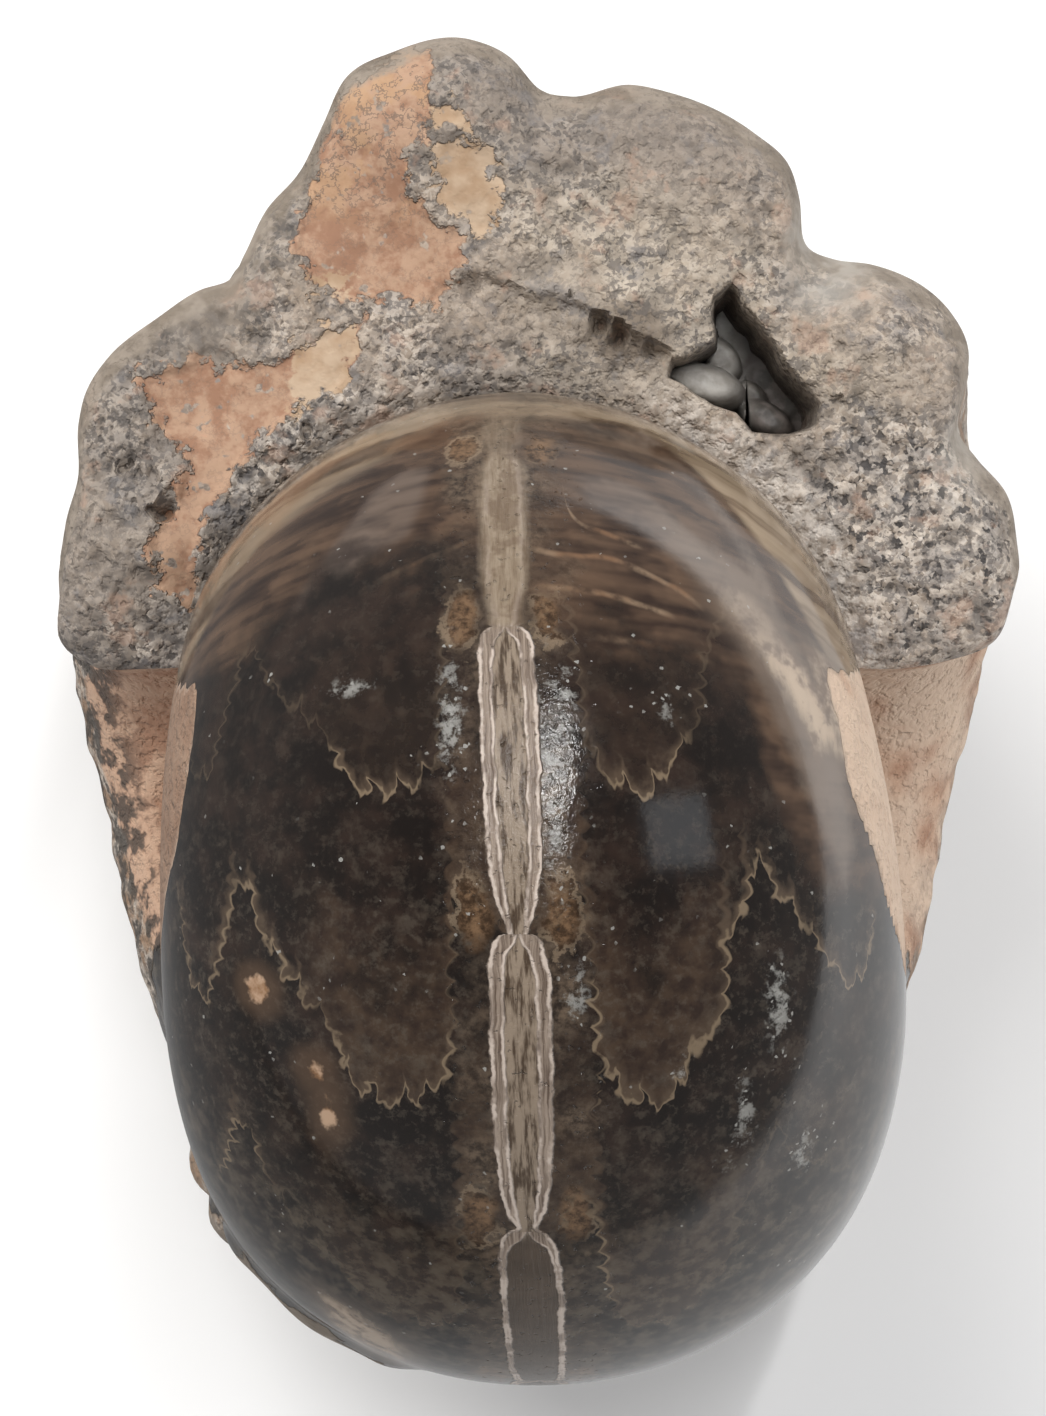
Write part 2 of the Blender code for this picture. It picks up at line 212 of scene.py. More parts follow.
# %% [markdown]
# ## Light and floor
#
# Polished stone shows mostly what it mirrors, so the surroundings matter. They are dark straight above,
# where the camera is, and bright near the horizon. That leaves the middle of the polished whorl nearly
# black and puts a pale sheen along its sides. A dim window and a narrow tube are mirrored beside the
# siphuncle. The floor is plain and pale, and the polish mirrors it dimmer on the left than on the right. A
# picture of a real studio could do all this, but each of these few parts can be moved on its own.

# %% Light and floor
WORLD_STRENGTH = (1.0, 0.30)  # for light on the stone, and as the polish mirrors it
WORLD_DIMS = (0.15, 0.95)  # between these heights over the horizon
OVERHEAD = (0.13, 0.135, 0.15)
LAMPS = (  # name, place, (width, height), watts, colour, whether the polish mirrors it
    ("key", (-0.40, 0.50, 0.85), (0.6, 0.6), 9.5, (1.0, 0.985, 0.96), False),
    ("window", (0.606, 0.092, 0.770), (0.23, 0.30), 0.28, (0.9, 0.95, 1.0), True),
    ("tube", (0.104, 0.25, 0.96), (0.022, 0.46), 3.4, (1.0, 1.0, 1.0), True),
    ("bounce", (0.50, -0.08, 0.16), (0.3, 0.2), 0.6, (1.0, 0.97, 0.93), False),
)
LAMPS_AIM = (0.0, 0.0, 0.05)
FLOOR_HALF = 1.5
FLOOR_COLOUR = (0.86, 0.86, 0.86)
FLOOR_MIRRORED = (-0.05, 0.36, 0.28, 2.0)  # between these x, how bright the polish mirrors it
FLOOR_FADES = (-0.04, -0.8, 1.0, 0.25)  # between these y, in front, by what share it is dimmed


def add_world():
    """White at the horizon and dim overhead."""
    world = bpy.data.worlds.new("studio")
    world.use_nodes = True
    tree = world.node_tree
    _, _, up = parts(source(tree, "TexCoord", "Generated"))
    mirrored = source(tree, "LightPath", "Is Glossy Ray")
    colour = mix(ramp(up, *WORLD_DIMS, 0.0, 1.0), (1.0, 1.0, 1.0), OVERHEAD)
    strength = ramp(mirrored, 0.0, 1.0, *WORLD_STRENGTH)
    fill(tree.nodes["Background"], {"Color": colour, "Strength": strength})
    bpy.context.scene.world = world
    bpy.context.scene.view_settings.view_transform = "Standard"


def add_lamp(name, at, size, power, colour, mirrored):
    """A soft rectangular lamp that faces the fossil."""
    data = bpy.data.lights.new(name, "AREA")
    data.shape = "RECTANGLE"
    (data.size, data.size_y), data.energy, data.color = size, power, colour
    turn = (Vector(LAMPS_AIM) - Vector(at)).to_track_quat("-Z", "Y")
    made = put(name, data)
    made.matrix_world = Matrix.Translation(at) @ turn.to_matrix().to_4x4()
    made.visible_glossy = mirrored


def add_floor():
    """A plain floor. Rays mirrored by the polish see a glow of FLOOR_MIRRORED over x * FLOOR_FADES over y."""
    mesh = bpy.data.meshes.new("floor")
    corners = [(x * FLOOR_HALF, y * FLOOR_HALF, 0.0) for x, y in ((-1, -1), (1, -1), (1, 1), (-1, 1))]
    mesh.from_pydata(corners, [], [(0, 1, 2, 3)])
    finish, tree, shader = start_material("floor")
    fill(shader, {"Base Color": FLOOR_COLOUR, "Roughness": 0.9})
    x, y, _ = parts(source(tree, "TexCoord", "Object"))
    glow = add_node(tree, "Emission", {"Strength": ramp(x, *FLOOR_MIRRORED) * ramp(y, *FLOOR_FADES)})
    choose = add_node(tree, "MixShader", {0: source(tree, "LightPath", "Is Glossy Ray")})
    tree.links.new(shader.outputs[0], choose.inputs[1])
    tree.links.new(glow.outputs[0], choose.inputs[2])
    tree.links.new(choose.outputs[0], tree.nodes["Material Output"].inputs["Surface"])
    mesh.materials.append(finish)
    made = put("floor", mesh)


add_world()
for lamp in LAMPS:
    add_lamp(*lamp)
add_floor()
print("lamps:", len(LAMPS))

# %% [markdown]
# ## The coil as a surface of two parameters
#
# An ammonite grows on a logarithmic spiral: each whorl is a scaled copy of the one before it. So its whole
# skin is one function of `back` and `beta`. The radius shrinks by a fixed factor in each whorl, and the
# cross-section is half an ellipse with a rounded wall down into the umbilicus. It could be sculpted too, but
# a formula also tells each point where on the animal it is, and the patterns need that later.

# %% The coil's driving dimensions
WHORL = 360.0
FACE_RADIUS = 67.0 * MM
WHORL_GROWTH = 1.68
WIDEST_AT, SEAM_AT = 0.40, 0.223  # shares of the venter's radius
WALL_POWER = 0.7
ARCH_POWER = ((0, 1.0), (260, 1.0), (360, 1.09))
HALF_BREADTH_MM = (
    (0, 42.3), (45, 43.1), (90, 40.2), (135, 36.2), (180, 33.3), (225, 33.1), (270, 32.2), (315, 30.7),
    (360, 29.5),
)
INNER_NARROWING = 1.6
MIDLINE_DRIFT_MM = (
    (0, 0.7), (60, -0.2), (110, -0.3), (180, 0.6), (215, 0.5), (250, 0.1), (310, -1.0), (360, -1.3),
)


def smoothstep(value, low, high):
    """0 below low, 1 above high, and a smooth S between them."""
    share = np.clip((value - low) / (high - low), 0.0, 1.0)
    return share * share * (3.0 - 2.0 * share)


def through_points(points, at):
    """A smooth curve through (position, value) points: cubic Hermite spans between them."""
    px, py = np.array(points, float).T
    slopes = np.gradient(py, px)
    span = np.clip(np.searchsorted(px, at, side="right") - 1, 0, len(px) - 2)
    width = px[span + 1] - px[span]
    t = np.clip((at - px[span]) / width, 0.0, 1.0)
    return (
        (1 + 2 * t) * (1 - t) ** 2 * py[span]
        + t * (1 - t) ** 2 * width * slopes[span]
        + t * t * (3 - 2 * t) * py[span + 1]
        - t * t * (1 - t) * width * slopes[span + 1]
    )


def venter_radius(back):
    """Logarithmic spiral: radius = FACE_RADIUS / WHORL_GROWTH ** whorls."""
    return FACE_RADIUS * WHORL_GROWTH ** (-back / WHORL)


def half_breadth(back):
    """Half the whorl's width: through its points on the outer whorl, then a steady narrowing."""
    outer = through_points(HALF_BREADTH_MM, np.minimum(back, WHORL)) * MM
    return outer * INNER_NARROWING ** (-np.maximum(back - WHORL, 0.0) / WHORL)


def wall_sine(share):
    """How far round the umbilical wall, as a sine, its radius is this share of the venter's."""
    return ((WIDEST_AT - share) / (WIDEST_AT - SEAM_AT)) ** (1.0 / WALL_POWER)


OVERLAP_ANGLE = math.asin(wall_sine(SEAM_AT * WHORL_GROWTH))
OVERLAP_BETA = 90.0 + math.degrees(OVERLAP_ANGLE)
OVERLAP_SHARE = math.cos(OVERLAP_ANGLE) ** WALL_POWER


def seam_breadth(back):
    """Half width at the umbilical seam, where the whorl sits on the one before it."""
    below = half_breadth(back + WHORL)
    return OVERLAP_SHARE * below + (1.0 - OVERLAP_SHARE) * half_breadth(back + 2.0 * WHORL)


def midline(back, beta):
    """The coil's sideways drift. The wall's foot follows the whorl that it stands on."""
    own = through_points(MIDLINE_DRIFT_MM, np.minimum(back, WHORL)) * MM
    below = through_points(MIDLINE_DRIFT_MM, np.full_like(back, WHORL)) * MM
    return own + (below - own) * smoothstep(np.abs(beta), OVERLAP_BETA, 180.0)


def plain_section(back, beta):
    """(x, radius) round a section: half an ellipse out to beta 90, then cosine and sine of the wall's angle,
    each to WALL_POWER, in to the seam."""
    angle = np.abs(beta)
    arch = np.radians(np.minimum(angle, 90.0))
    wall = np.radians(np.clip(angle - 90.0, 0.0, 90.0))
    breadth, seam = half_breadth(back), seam_breadth(back)
    power = through_points(ARCH_POWER, np.minimum(back, WHORL))
    on_arch = breadth * np.sin(arch) ** power
    on_wall = seam + (breadth - seam) * np.cos(wall) ** WALL_POWER
    arch_share = WIDEST_AT + (1.0 - WIDEST_AT) * np.maximum(np.cos(arch), 0.0) ** power
    wall_share = WIDEST_AT - (WIDEST_AT - SEAM_AT) * np.sin(wall) ** WALL_POWER
    share = np.where(angle <= 90.0, arch_share, wall_share)
    side = np.sign(beta) * np.where(angle <= 90.0, on_arch, on_wall)
    return side + midline(back, beta), venter_radius(back) * share


print("the next whorl sits on this one from beta", round(OVERLAP_BETA, 1), "degrees")

# %% [markdown]
# ## Ribs, tubercles and the broken rim
#
# The unpolished half keeps its ornament: a rib every 14 degrees, each a raised cosine, with rows of knobs
# where a bell curve round the section adds height, and a groove along the venter. Bumps in the finish would
# leave the outline smooth, so all of this is in the shape. At the broken face the rim follows its own
# outline, as heights over the plain section.

# %% Ornament
RIB_STEP = 14.0
RIB_HEIGHT = 1.3 * MM
TUBERCLE_ROWS = ((15.0, 9.0, 2.6), (38.0, 8.0, 1.3), (61.0, 9.0, 2.2), (92.0, 9.0, 0.7))
RIB_ENDS_AT = (76.0, 130.0)
CRUST_FILLS = 0.85  # share of the height between the ribs that crust fills on the flanks
SULCUS_DEPTH = 1.2 * MM
SULCUS_WIDTH = 5.0
POLISH_STARTS = (152.0, 182.0)
RIM_BLEND = 30.0
BROKEN_RIM_MM = (
    (-180, 0.0), (-160, 0.8), (-140, 2.6), (-124, 3.6), (-106, 2.6), (-95, 2.5), (-88, 1.9), (-82, 1.1),
    (-75, 2.1), (-71, 2.3), (-66, 1.6), (-58, -0.8), (-52, -2.3), (-48, -3.7), (-44, -2.9), (-38, -1.0),
    (-31, 0.6), (-26, 3.5), (-22, 6.3), (-16, 7.2), (-7, 6.9), (-3, 5.0), (0, 2.2), (4, 1.5), (11, 3.4),
    (16, 3.5), (27, 2.4), (33, 1.2), (36, -0.6), (40, -3.5), (45, -2.9), (49, -0.8), (60, 2.4), (65, 2.2),
    (70, 0.2), (74, -1.5), (79, -0.4), (84, 1.8), (90, 2.5), (105, 2.6), (120, 3.0), (140, 1.6), (180, 0.0),
)
NORMAL_STEP = 0.5


def rough_margin(beta):
    """How many degrees further the ribs reach: more on the left, where the polish stopped short, and fewer
    on the flanks."""
    left = 17.0 * smoothstep(-beta, 14.0, 26.0) * (1.0 - smoothstep(-beta, 52.0, 66.0))
    return left - 32.0 * smoothstep(np.abs(beta), 58.0, 74.0)


def ornament(back, beta):
    """Height over the plain section = (rib + sum of bell-shaped knobs) * raised cosine of back - groove,
    turning into the broken rim's heights near the face and into nothing where it is polished."""
    angle = np.abs(beta)
    rib = 0.5 + 0.5 * np.cos(2.0 * np.pi * back / RIB_STEP)
    tubercles = sum(high * MM * np.exp(-(((angle - at) / wide) ** 2)) for at, wide, high in TUBERCLE_ROWS)
    size = venter_radius(back) / FACE_RADIUS
    crust = CRUST_FILLS * smoothstep(angle, 50.0, 68.0) * (1.0 - smoothstep(angle, 115.0, 145.0))
    rib = rib + (1.0 - rib) * crust
    ribs = (RIB_HEIGHT * (1.0 - smoothstep(angle, *RIB_ENDS_AT)) + tubercles) * rib * size
    groove = SULCUS_DEPTH * np.exp(-((beta / SULCUS_WIDTH) ** 2))
    unpolished = 1.0 - smoothstep(back - rough_margin(beta), *POLISH_STARTS)
    regular = (ribs - groove) * unpolished
    rim = through_points(BROKEN_RIM_MM, beta) * MM
    return rim + (regular - rim) * smoothstep(back, 0.0, RIM_BLEND)


def section(back, beta):
    """The plain section, lifted by the ornament along its normal."""
    x, radius = plain_section(back, beta)
    x_past, radius_past = plain_section(back, np.minimum(beta + NORMAL_STEP, 180.0))
    x_before, radius_before = plain_section(back, np.maximum(beta - NORMAL_STEP, -180.0))
    run, rise = x_past - x_before, radius_past - radius_before
    lift = ornament(back, beta) / np.hypot(run, rise)
    return x - rise * lift, radius + run * lift


print("ribs from the face to where the polish starts:", round(POLISH_STARTS[0] / RIB_STEP))

# %% [markdown]
# ## Noise on a lattice
#
# Rough stone needs a height that wanders. A Displace modifier could give it, but here the same numbers also
# have to reach the finish. Value noise gives every lattice point a fixed pseudo-random number and blends
# smoothly between them. Adding it at half the size and half the strength again and again gives bumps on
# bumps. It is worked out for all points at once, and gives the same result each run.


# %% Noise helpers
def lattice_value(cell, seed):
    """A fixed number in -1..1 for each whole-numbered lattice point: the fraction of a large sine."""
    mixed = np.sin(cell @ np.array((12.9898, 78.233, 37.719)) + seed * 4.137) * 43758.5453
    return 2.0 * (mixed - np.floor(mixed)) - 1.0


def value_noise(points, scale, seed):
    """Trilinear blend, with smoothed weights, of the eight lattice values round each point."""
    q = points / scale
    cell = np.floor(q)
    t = q - cell
    t = t * t * (3.0 - 2.0 * t)
    total = np.zeros(points.shape[:-1])
    for corner in np.ndindex(2, 2, 2):
        pick = np.array(corner)
        weight = np.prod(np.where(pick == 1, t, 1.0 - t), axis=-1)
        total += weight * lattice_value(cell + pick, seed)
    return total


def layered_noise(points, scale, layers, seed):
    """Sum of value noise at scale, scale/2, scale/4 ..., each half as strong."""
    return sum(value_noise(points, scale / 2**k, seed + k) / 2**k for k in range(layers))


# %% [markdown]
# ## The coil's skin
#
# The outer whorl is one grid over `back` and `beta`. Rows are close where there are ribs and wider where
# the polish has left a plain curve. Fine noise roughens the part that was never polished. Near the broken
# face the edge of the stone is worn round. A Bevel would round it evenly, so the first rows are drawn back
# from the face's plane by a width that wanders.

# %% The grids' rows and columns
RIBBED_ROWS = np.linspace(0.0, 182.0, 153)
POLISHED_ROWS = np.linspace(182.0, WHORL, 80)
ROWS = np.concatenate((RIBBED_ROWS, POLISHED_ROWS[1:]))
COLUMNS = 156
COVERED = OVERLAP_BETA * np.linspace(-1.0, 1.0, COLUMNS + 1)
WALL_STEPS = 14
WALL_SHARE = np.linspace(0.0, 1.0, WALL_STEPS + 1)
WALL_SHARE = 0.6 * WALL_SHARE + 0.4 * smoothstep(WALL_SHARE, 0.0, 1.0)  # closer together at both ends
WALL = OVERLAP_BETA + (180.0 - OVERLAP_BETA) * WALL_SHARE
BETAS = np.concatenate((-WALL[:0:-1], COVERED, WALL[1:]))
FINER_ACROSS, FINER_ALONG = 3, 7  # how many of the face's steps fit in one of the coil's
EDGE_REACH = 10.0 * MM


def edge_wear(beta):
    """How far the face's edge is worn back: 1 to 4 mm, wandering round the rim, and nothing at the seam."""
    place = np.stack((beta / 14.0, np.zeros_like(beta), np.zeros_like(beta)), -1)
    worn = (2.3 + 1.3 * value_noise(place, 1.0, 3.0)) * MM
    return worn * (1.0 - smoothstep(np.abs(beta), 100.0, 176.0))


def coil_patch(backs, betas):
    """The whorl over a grid of back and beta: section, plus roughness where it was never polished,
    drawn back near the face by edge_wear * (1 - distance / EDGE_REACH) squared."""
    back, beta = np.meshgrid(backs, betas, indexing="ij")
    x, radius = section(back, beta)
    points = on_coil(x, radius, back)
    rough = (1.0 - smoothstep(back, 150.0, 186.0)) * smoothstep(back, 0.0, 6.0)
    rough = rough * (1.0 - smoothstep(np.abs(beta), 130.0, 178.0))
    bumps = 0.30 * layered_noise(points, 7.0 * MM, 3, 11.0) + 0.16 * value_noise(points, 1.6 * MM, 5.0)
    outwards = points - on_coil(midline(back, beta), 0.62 * radius, back)
    outwards /= np.linalg.norm(outwards, axis=-1, keepdims=True)
    points = points + outwards * (bumps * rough * MM)[..., None]
    behind = np.clip(np.radians(back) * radius / EDGE_REACH, 0.0, 1.0)
    drawn = edge_wear(beta) * (1.0 - behind) ** 2 * (back < 90.0)
    return points - drawn[..., None] * OUT_OF_FACE


coil = coil_patch(ROWS, BETAS)
print("coil grid:", coil.shape[0], "rows of", coil.shape[1], "points")

# %% [markdown]
# ## The broken face
#
# The face is a horseshoe between the polished whorl and the rim. One parameter runs along it from the inner
# arc to the rim, and the other goes across from one foot to the other. Straight lines join equal betas, and
# the last ones bend to follow the umbilical wall. A Boolean cut would leave long thin faces here, where the
# grid stays even and can carry fine detail. The solid has the large lumps, and here come the smaller ones:
# rubble, grains, smoother inlaid patches, a ledge, the hollow and the pits.

# %% Places on the broken face, in mm: x to the side, h up from the coil axis
FACE_PILLOW = 2.2
FACE_LUMPS = (  # x, h, radius, height
    (-9.0, 66.0, 7.5, 2.0), (15.0, 61.0, 8.0, 1.6), (34.0, 44.0, 7.0, 2.4), (39.0, 24.0, 7.0, 1.8),
    (-37.0, 25.0, 7.0, 2.0), (-30.0, 42.0, 8.0, -1.4), (-16.0, 55.0, 9.0, -1.2), (9.0, 48.0, 5.0, 1.8),
    (27.0, 52.0, 4.5, -2.2), (2.5, 67.0, 4.0, -1.8),
)
HOLLOW_AT = (20.5, 43.0)
HOLLOW_RIM = (
    (-2.0, 7.1), (-0.2, 4.6), (2.2, 1.6), (4.2, -1.4), (6.2, -3.9), (6.0, -5.7), (3.8, -6.6), (0.2, -6.3),
    (-1.4, -4.5), (-4.7, -3.4), (-7.7, -1.2), (-7.5, 0.3), (-4.7, 1.0), (-3.3, 2.0), (-3.7, 4.2), (-3.5, 6.0),
)
HOLLOW_DEPTH = 9.0
HOLLOW_WALL = 1.0
PITS = (  # x, h, radius
    (8.4, 45.2, 1.7), (6.3, 46.2, 1.3), (3.2, 47.2, 1.4), (11.2, 43.6, 1.5), (-2.0, 49.4, 1.2),
    (-35.0, 32.4, 1.0), (-33.6, 30.0, 1.4), (-37.6, 34.0, 1.1), (-20.5, 36.6, 1.0), (28.2, 38.6, 1.2),
    (33.5, 22.0, 1.2),
)
PIT_LEVEL, PIT_DEPTH = 3.0, 1.6  # a bowl's rim, and its depth in radii
LEDGE = ((-12.0, 49.5), (-4.0, 51.0), (4.0, 48.6), (11.0, 44.6), (15.0, 42.0))
LEDGE_DROP = 1.1
SALMON_OUTLINES = (
    (
        (-36.4, 41.6), (-30.7, 43.4), (-24.0, 43.0), (-19.0, 45.6), (-15.2, 47.2), (-16.0, 42.8),
        (-21.8, 39.0), (-26.2, 34.6), (-29.4, 30.0), (-31.0, 25.4), (-31.8, 20.6), (-34.2, 22.0),
        (-35.0, 25.6), (-32.4, 31.0), (-31.6, 34.8), (-34.8, 37.4),
    ),
    (
        (-19.4, 63.0), (-18.0, 67.2), (-15.6, 70.2), (-11.8, 72.4), (-9.2, 71.4), (-9.4, 66.4),
        (-9.8, 63.2), (-11.6, 61.6), (-11.2, 58.6), (-8.4, 56.0), (-6.2, 55.2), (-6.6, 51.4),
        (-8.8, 48.4), (-11.4, 49.0), (-15.8, 49.0), (-20.0, 50.0), (-21.8, 53.6), (-21.2, 57.0),
        (-19.6, 60.0),
    ),
)
CREAM_OUTLINES = (
    ((-9.0, 61.8), (-6.6, 64.0), (-3.6, 62.4), (-2.4, 58.8), (-3.2, 55.4), (-5.0, 54.8), (-8.2, 57.8)),
    ((-8.8, 66.4), (-7.2, 66.8), (-6.6, 65.0), (-8.4, 64.6)),
    ((-21.4, 45.2), (-16.2, 47.2), (-15.6, 44.8), (-17.8, 40.6), (-21.4, 38.2), (-22.0, 41.0)),
    ((-20.2, 51.0), (-16.4, 51.6), (-16.8, 50.0), (-19.8, 49.4)),
)
PATCH_DIP = 0.5


def into_outline(outline, x, h):
    """Signed distance into a closed outline: to its nearest side, positive where the number of sides
    crossed on the way out is odd."""
    a = np.array(outline, float)
    side = np.roll(a, -1, axis=0) - a
    px, ph = x[..., None] - a[:, 0], h[..., None] - a[:, 1]
    t = np.clip((px * side[:, 0] + ph * side[:, 1]) / np.sum(side**2, axis=1), 0.0, 1.0)
    gap = np.hypot(px - t * side[:, 0], ph - t * side[:, 1]).min(axis=-1)
    spans = (ph >= 0.0) != (ph - side[:, 1] >= 0.0)
    crossed = spans & (px < ph * side[:, 0] / np.where(side[:, 1] == 0.0, 1.0, side[:, 1]))
    return np.where(crossed.sum(axis=-1) % 2 == 1, gap, -gap)


def into_any(outlines, x, h):
    """Signed distance into the nearest of several outlines, held to 4 mm either way."""
    return np.clip(np.max([into_outline(outline, x, h) for outline in outlines], axis=0), -4.0, 4.0)


print("inlaid patches:", len(SALMON_OUTLINES), "salmon and", len(CREAM_OUTLINES), "cream")


# %% The face's surface
def face_grid():
    """(x, h) in metres, and the two parameters, row by row from the inner arc to the rim. Also the betas of
    the columns and of the rows' ends."""
    betas = np.interp(np.arange(COLUMNS * FINER_ACROSS + 1) / FINER_ACROSS, np.arange(COLUMNS + 1), COVERED)
    steps = np.arange(WALL_STEPS * FINER_ALONG + 1) / FINER_ALONG
    walls = np.interp(steps, np.arange(WALL_STEPS + 1), WALL)[::-1]
    along = ((180.0 - walls) / (180.0 - OVERLAP_BETA))[:, None]
    across = (betas / OVERLAP_BETA)[None, :]
    inner = np.stack(section(np.full_like(betas, WHORL), betas))[:, None, :]
    outer = np.stack(section(np.zeros_like(betas), betas))[:, None, :]
    flat = inner + (outer - inner) * along
    for side, column in ((-1.0, 0), (1.0, -1)):
        wall = np.stack(section(np.zeros_like(walls), side * walls))[:, :, None]
        straight = flat[:, :, column][:, :, None]
        flat = flat + (wall - straight) * np.maximum(side * across, 0.0) ** 6
    return flat, along, across, betas, walls


def face_height(x, h, along, across):
    """Height in mm over the plane: pillow and lumps, + rubble and grains, - patches, ledge, hollow, pits."""
    place = np.stack((x, h, np.zeros_like(x)), -1)
    height = np.full_like(x, FACE_PILLOW)
    for lump_x, lump_h, wide, up in FACE_LUMPS:
        height = height + up * np.exp(-((x - lump_x) ** 2 + (h - lump_h) ** 2) / wide**2)
    salmon, cream = into_any(SALMON_OUTLINES, x, h), into_any(CREAM_OUTLINES, x, h)
    inlaid = smoothstep(np.maximum(salmon, cream), -0.3, 0.7)
    rubble = 0.55 * layered_noise(place, 6.5, 2, 21.0)
    grains = 0.42 * layered_noise(place, 1.9, 3, 31.0) + 0.3 * np.minimum(value_noise(place, 1.3, 41.0), 0.1)
    grains = grains * (1.0 - 0.82 * inlaid)
    height = height + rubble + grains - PATCH_DIP * inlaid
    below = np.interp(x, *np.array(LEDGE).T) + 0.8 * value_noise(place, 2.5, 51.0) - h
    ends = smoothstep(x, -12.0, -5.0) * (1.0 - smoothstep(x, 12.0, 15.0))
    height = height - LEDGE_DROP * ends * smoothstep(below, 0.0, 0.9) * (1.0 - smoothstep(below, 2.0, 7.0))
    height = height * (1.0 - np.abs(2.0 * along - 1.0) ** 5) * (1.0 - np.abs(across) ** 16)
    uneven = 1.0 + 0.55 * layered_noise(place, 1.9, 2, 101.0)
    for pit_x, pit_h, radius in PITS:
        inside = np.maximum((radius * uneven) ** 2 - (x - pit_x) ** 2 - (h - pit_h) ** 2, 0.0)
        bowl = PIT_LEVEL - PIT_DEPTH * inside / radius
        height = np.where(inside > 0.0, np.minimum(height, bowl), height)
    hollow = into_outline(np.array(HOLLOW_RIM) + HOLLOW_AT, x, h) + 0.27 * value_noise(place, 1.6, 61.0)
    bottom = -HOLLOW_DEPTH + 0.6 * value_noise(place, 1.5, 71.0)
    height = height + (bottom - height) * smoothstep(hollow, -0.2, HOLLOW_WALL)
    return height, {"salmon": salmon, "cream": cream, "hollow": hollow, "grains": grains}


def in_notch(beta):
    """1 where the rim dips between two ribs and its smooth shell shows, 0 where it stands proud."""
    return 1.0 - smoothstep(through_points(BROKEN_RIM_MM, beta), -2.5, 1.2)


def face_patch(flat, along, across, betas, walls):
    """The face's points, and what its finish needs to know at each of them."""
    x, h = flat
    height, known = face_height(x / MM, h / MM, along, across)
    width = np.hypot(x[-1] - x[0], h[-1] - h[0])
    to_rim = (1.0 - along) * width
    rim_wear, wall_wear = edge_wear(betas)[None, :], edge_wear(walls)[:, None]
    worn = rim_wear * np.clip(1.0 - to_rim / (1.9 * rim_wear), 0.0, 1.0) ** 2
    worn = np.maximum(worn, wall_wear * np.clip(1.0 - (1.0 - np.abs(across)) / 0.02, 0.0, 1.0) ** 2)
    known["to_rim"], known["to_arc"] = to_rim / MM, along * width / MM
    known["notch"] = in_notch(betas)[None, :] * (1.0 - smoothstep(known["to_rim"], 3.5, 8.0))
    return on_face(x, h, height * MM - worn), known


FACE_GRID = face_grid()
face, face_known = face_patch(*FACE_GRID)
for foot, end in ((0, WALL_STEPS), (-1, -WALL_STEPS - 1)):
    coil[-1, end] = face[0, foot] = coil[0, foot]  # where the outer whorl's seam meets the face's foot
print("face grid:", face.shape[0], "rows of", face.shape[1], "points")

# %% [markdown]
# ## The umbilici
#
# On each side the coil winds in to a shallow well, where the wall of the next whorl in can be seen. Its first
# column is the outer whorl's seam. The coil could wind on to its first chamber, but stone hides the rest, so
# a disc whose rings shrink to a point fills what is left.

# %% The inner whorl's wall and the stone plug, on each side
PLUG_RINGS = np.array((1.0, 0.82, 0.62, 0.42, 0.2, 0.0))


def umbilicus(side):
    """The next whorl's wall, and rings from its free edge in to a middle point: middle + (edge - middle) *
    share, with rubble that fades out at the edge."""
    whorl = coil_patch(WHORL + ROWS, side * WALL)
    whorl[:, 0] = coil[:, 0 if side < 0.0 else -1]
    rim = np.concatenate((whorl[:, -1], whorl[-1, -2::-1]))
    middle = rim.mean(axis=0)
    rings = middle + (rim - middle) * PLUG_RINGS[:, None, None]
    bumps = 0.9 * layered_noise(rings, 6.0 * MM, 3, 81.0) * (1.0 - PLUG_RINGS[:, None] ** 6) * MM
    rings[..., 0] += side * bumps
    return whorl, rings


UMBILICI = {"left": umbilicus(-1.0), "right": umbilicus(1.0)}
print("plug rings and points, left and right:", [plug.shape[:2] for _, plug in UMBILICI.values()])

# %% [markdown]
# ## What the finish needs to know
#
# The pattern on the polished whorl follows the animal's chambers, so each point carries numbers that the
# material can read. `chamber` counts chambers along the coil, whole at each neck of the siphuncle. `across`
# is the distance round the whorl from the siphuncle, shrunk as the whorl shrinks. `polish` says where the
# stone was ground. `under_face` is the distance from the broken face, and `around` goes from 0 at the
# venter to 1 at the seam. The marks are outlines and ovals in mm: across, and down the coil. A painted image
# would show its pixels close by. A distance into an outline stays sharp, and its edge can be made ragged.

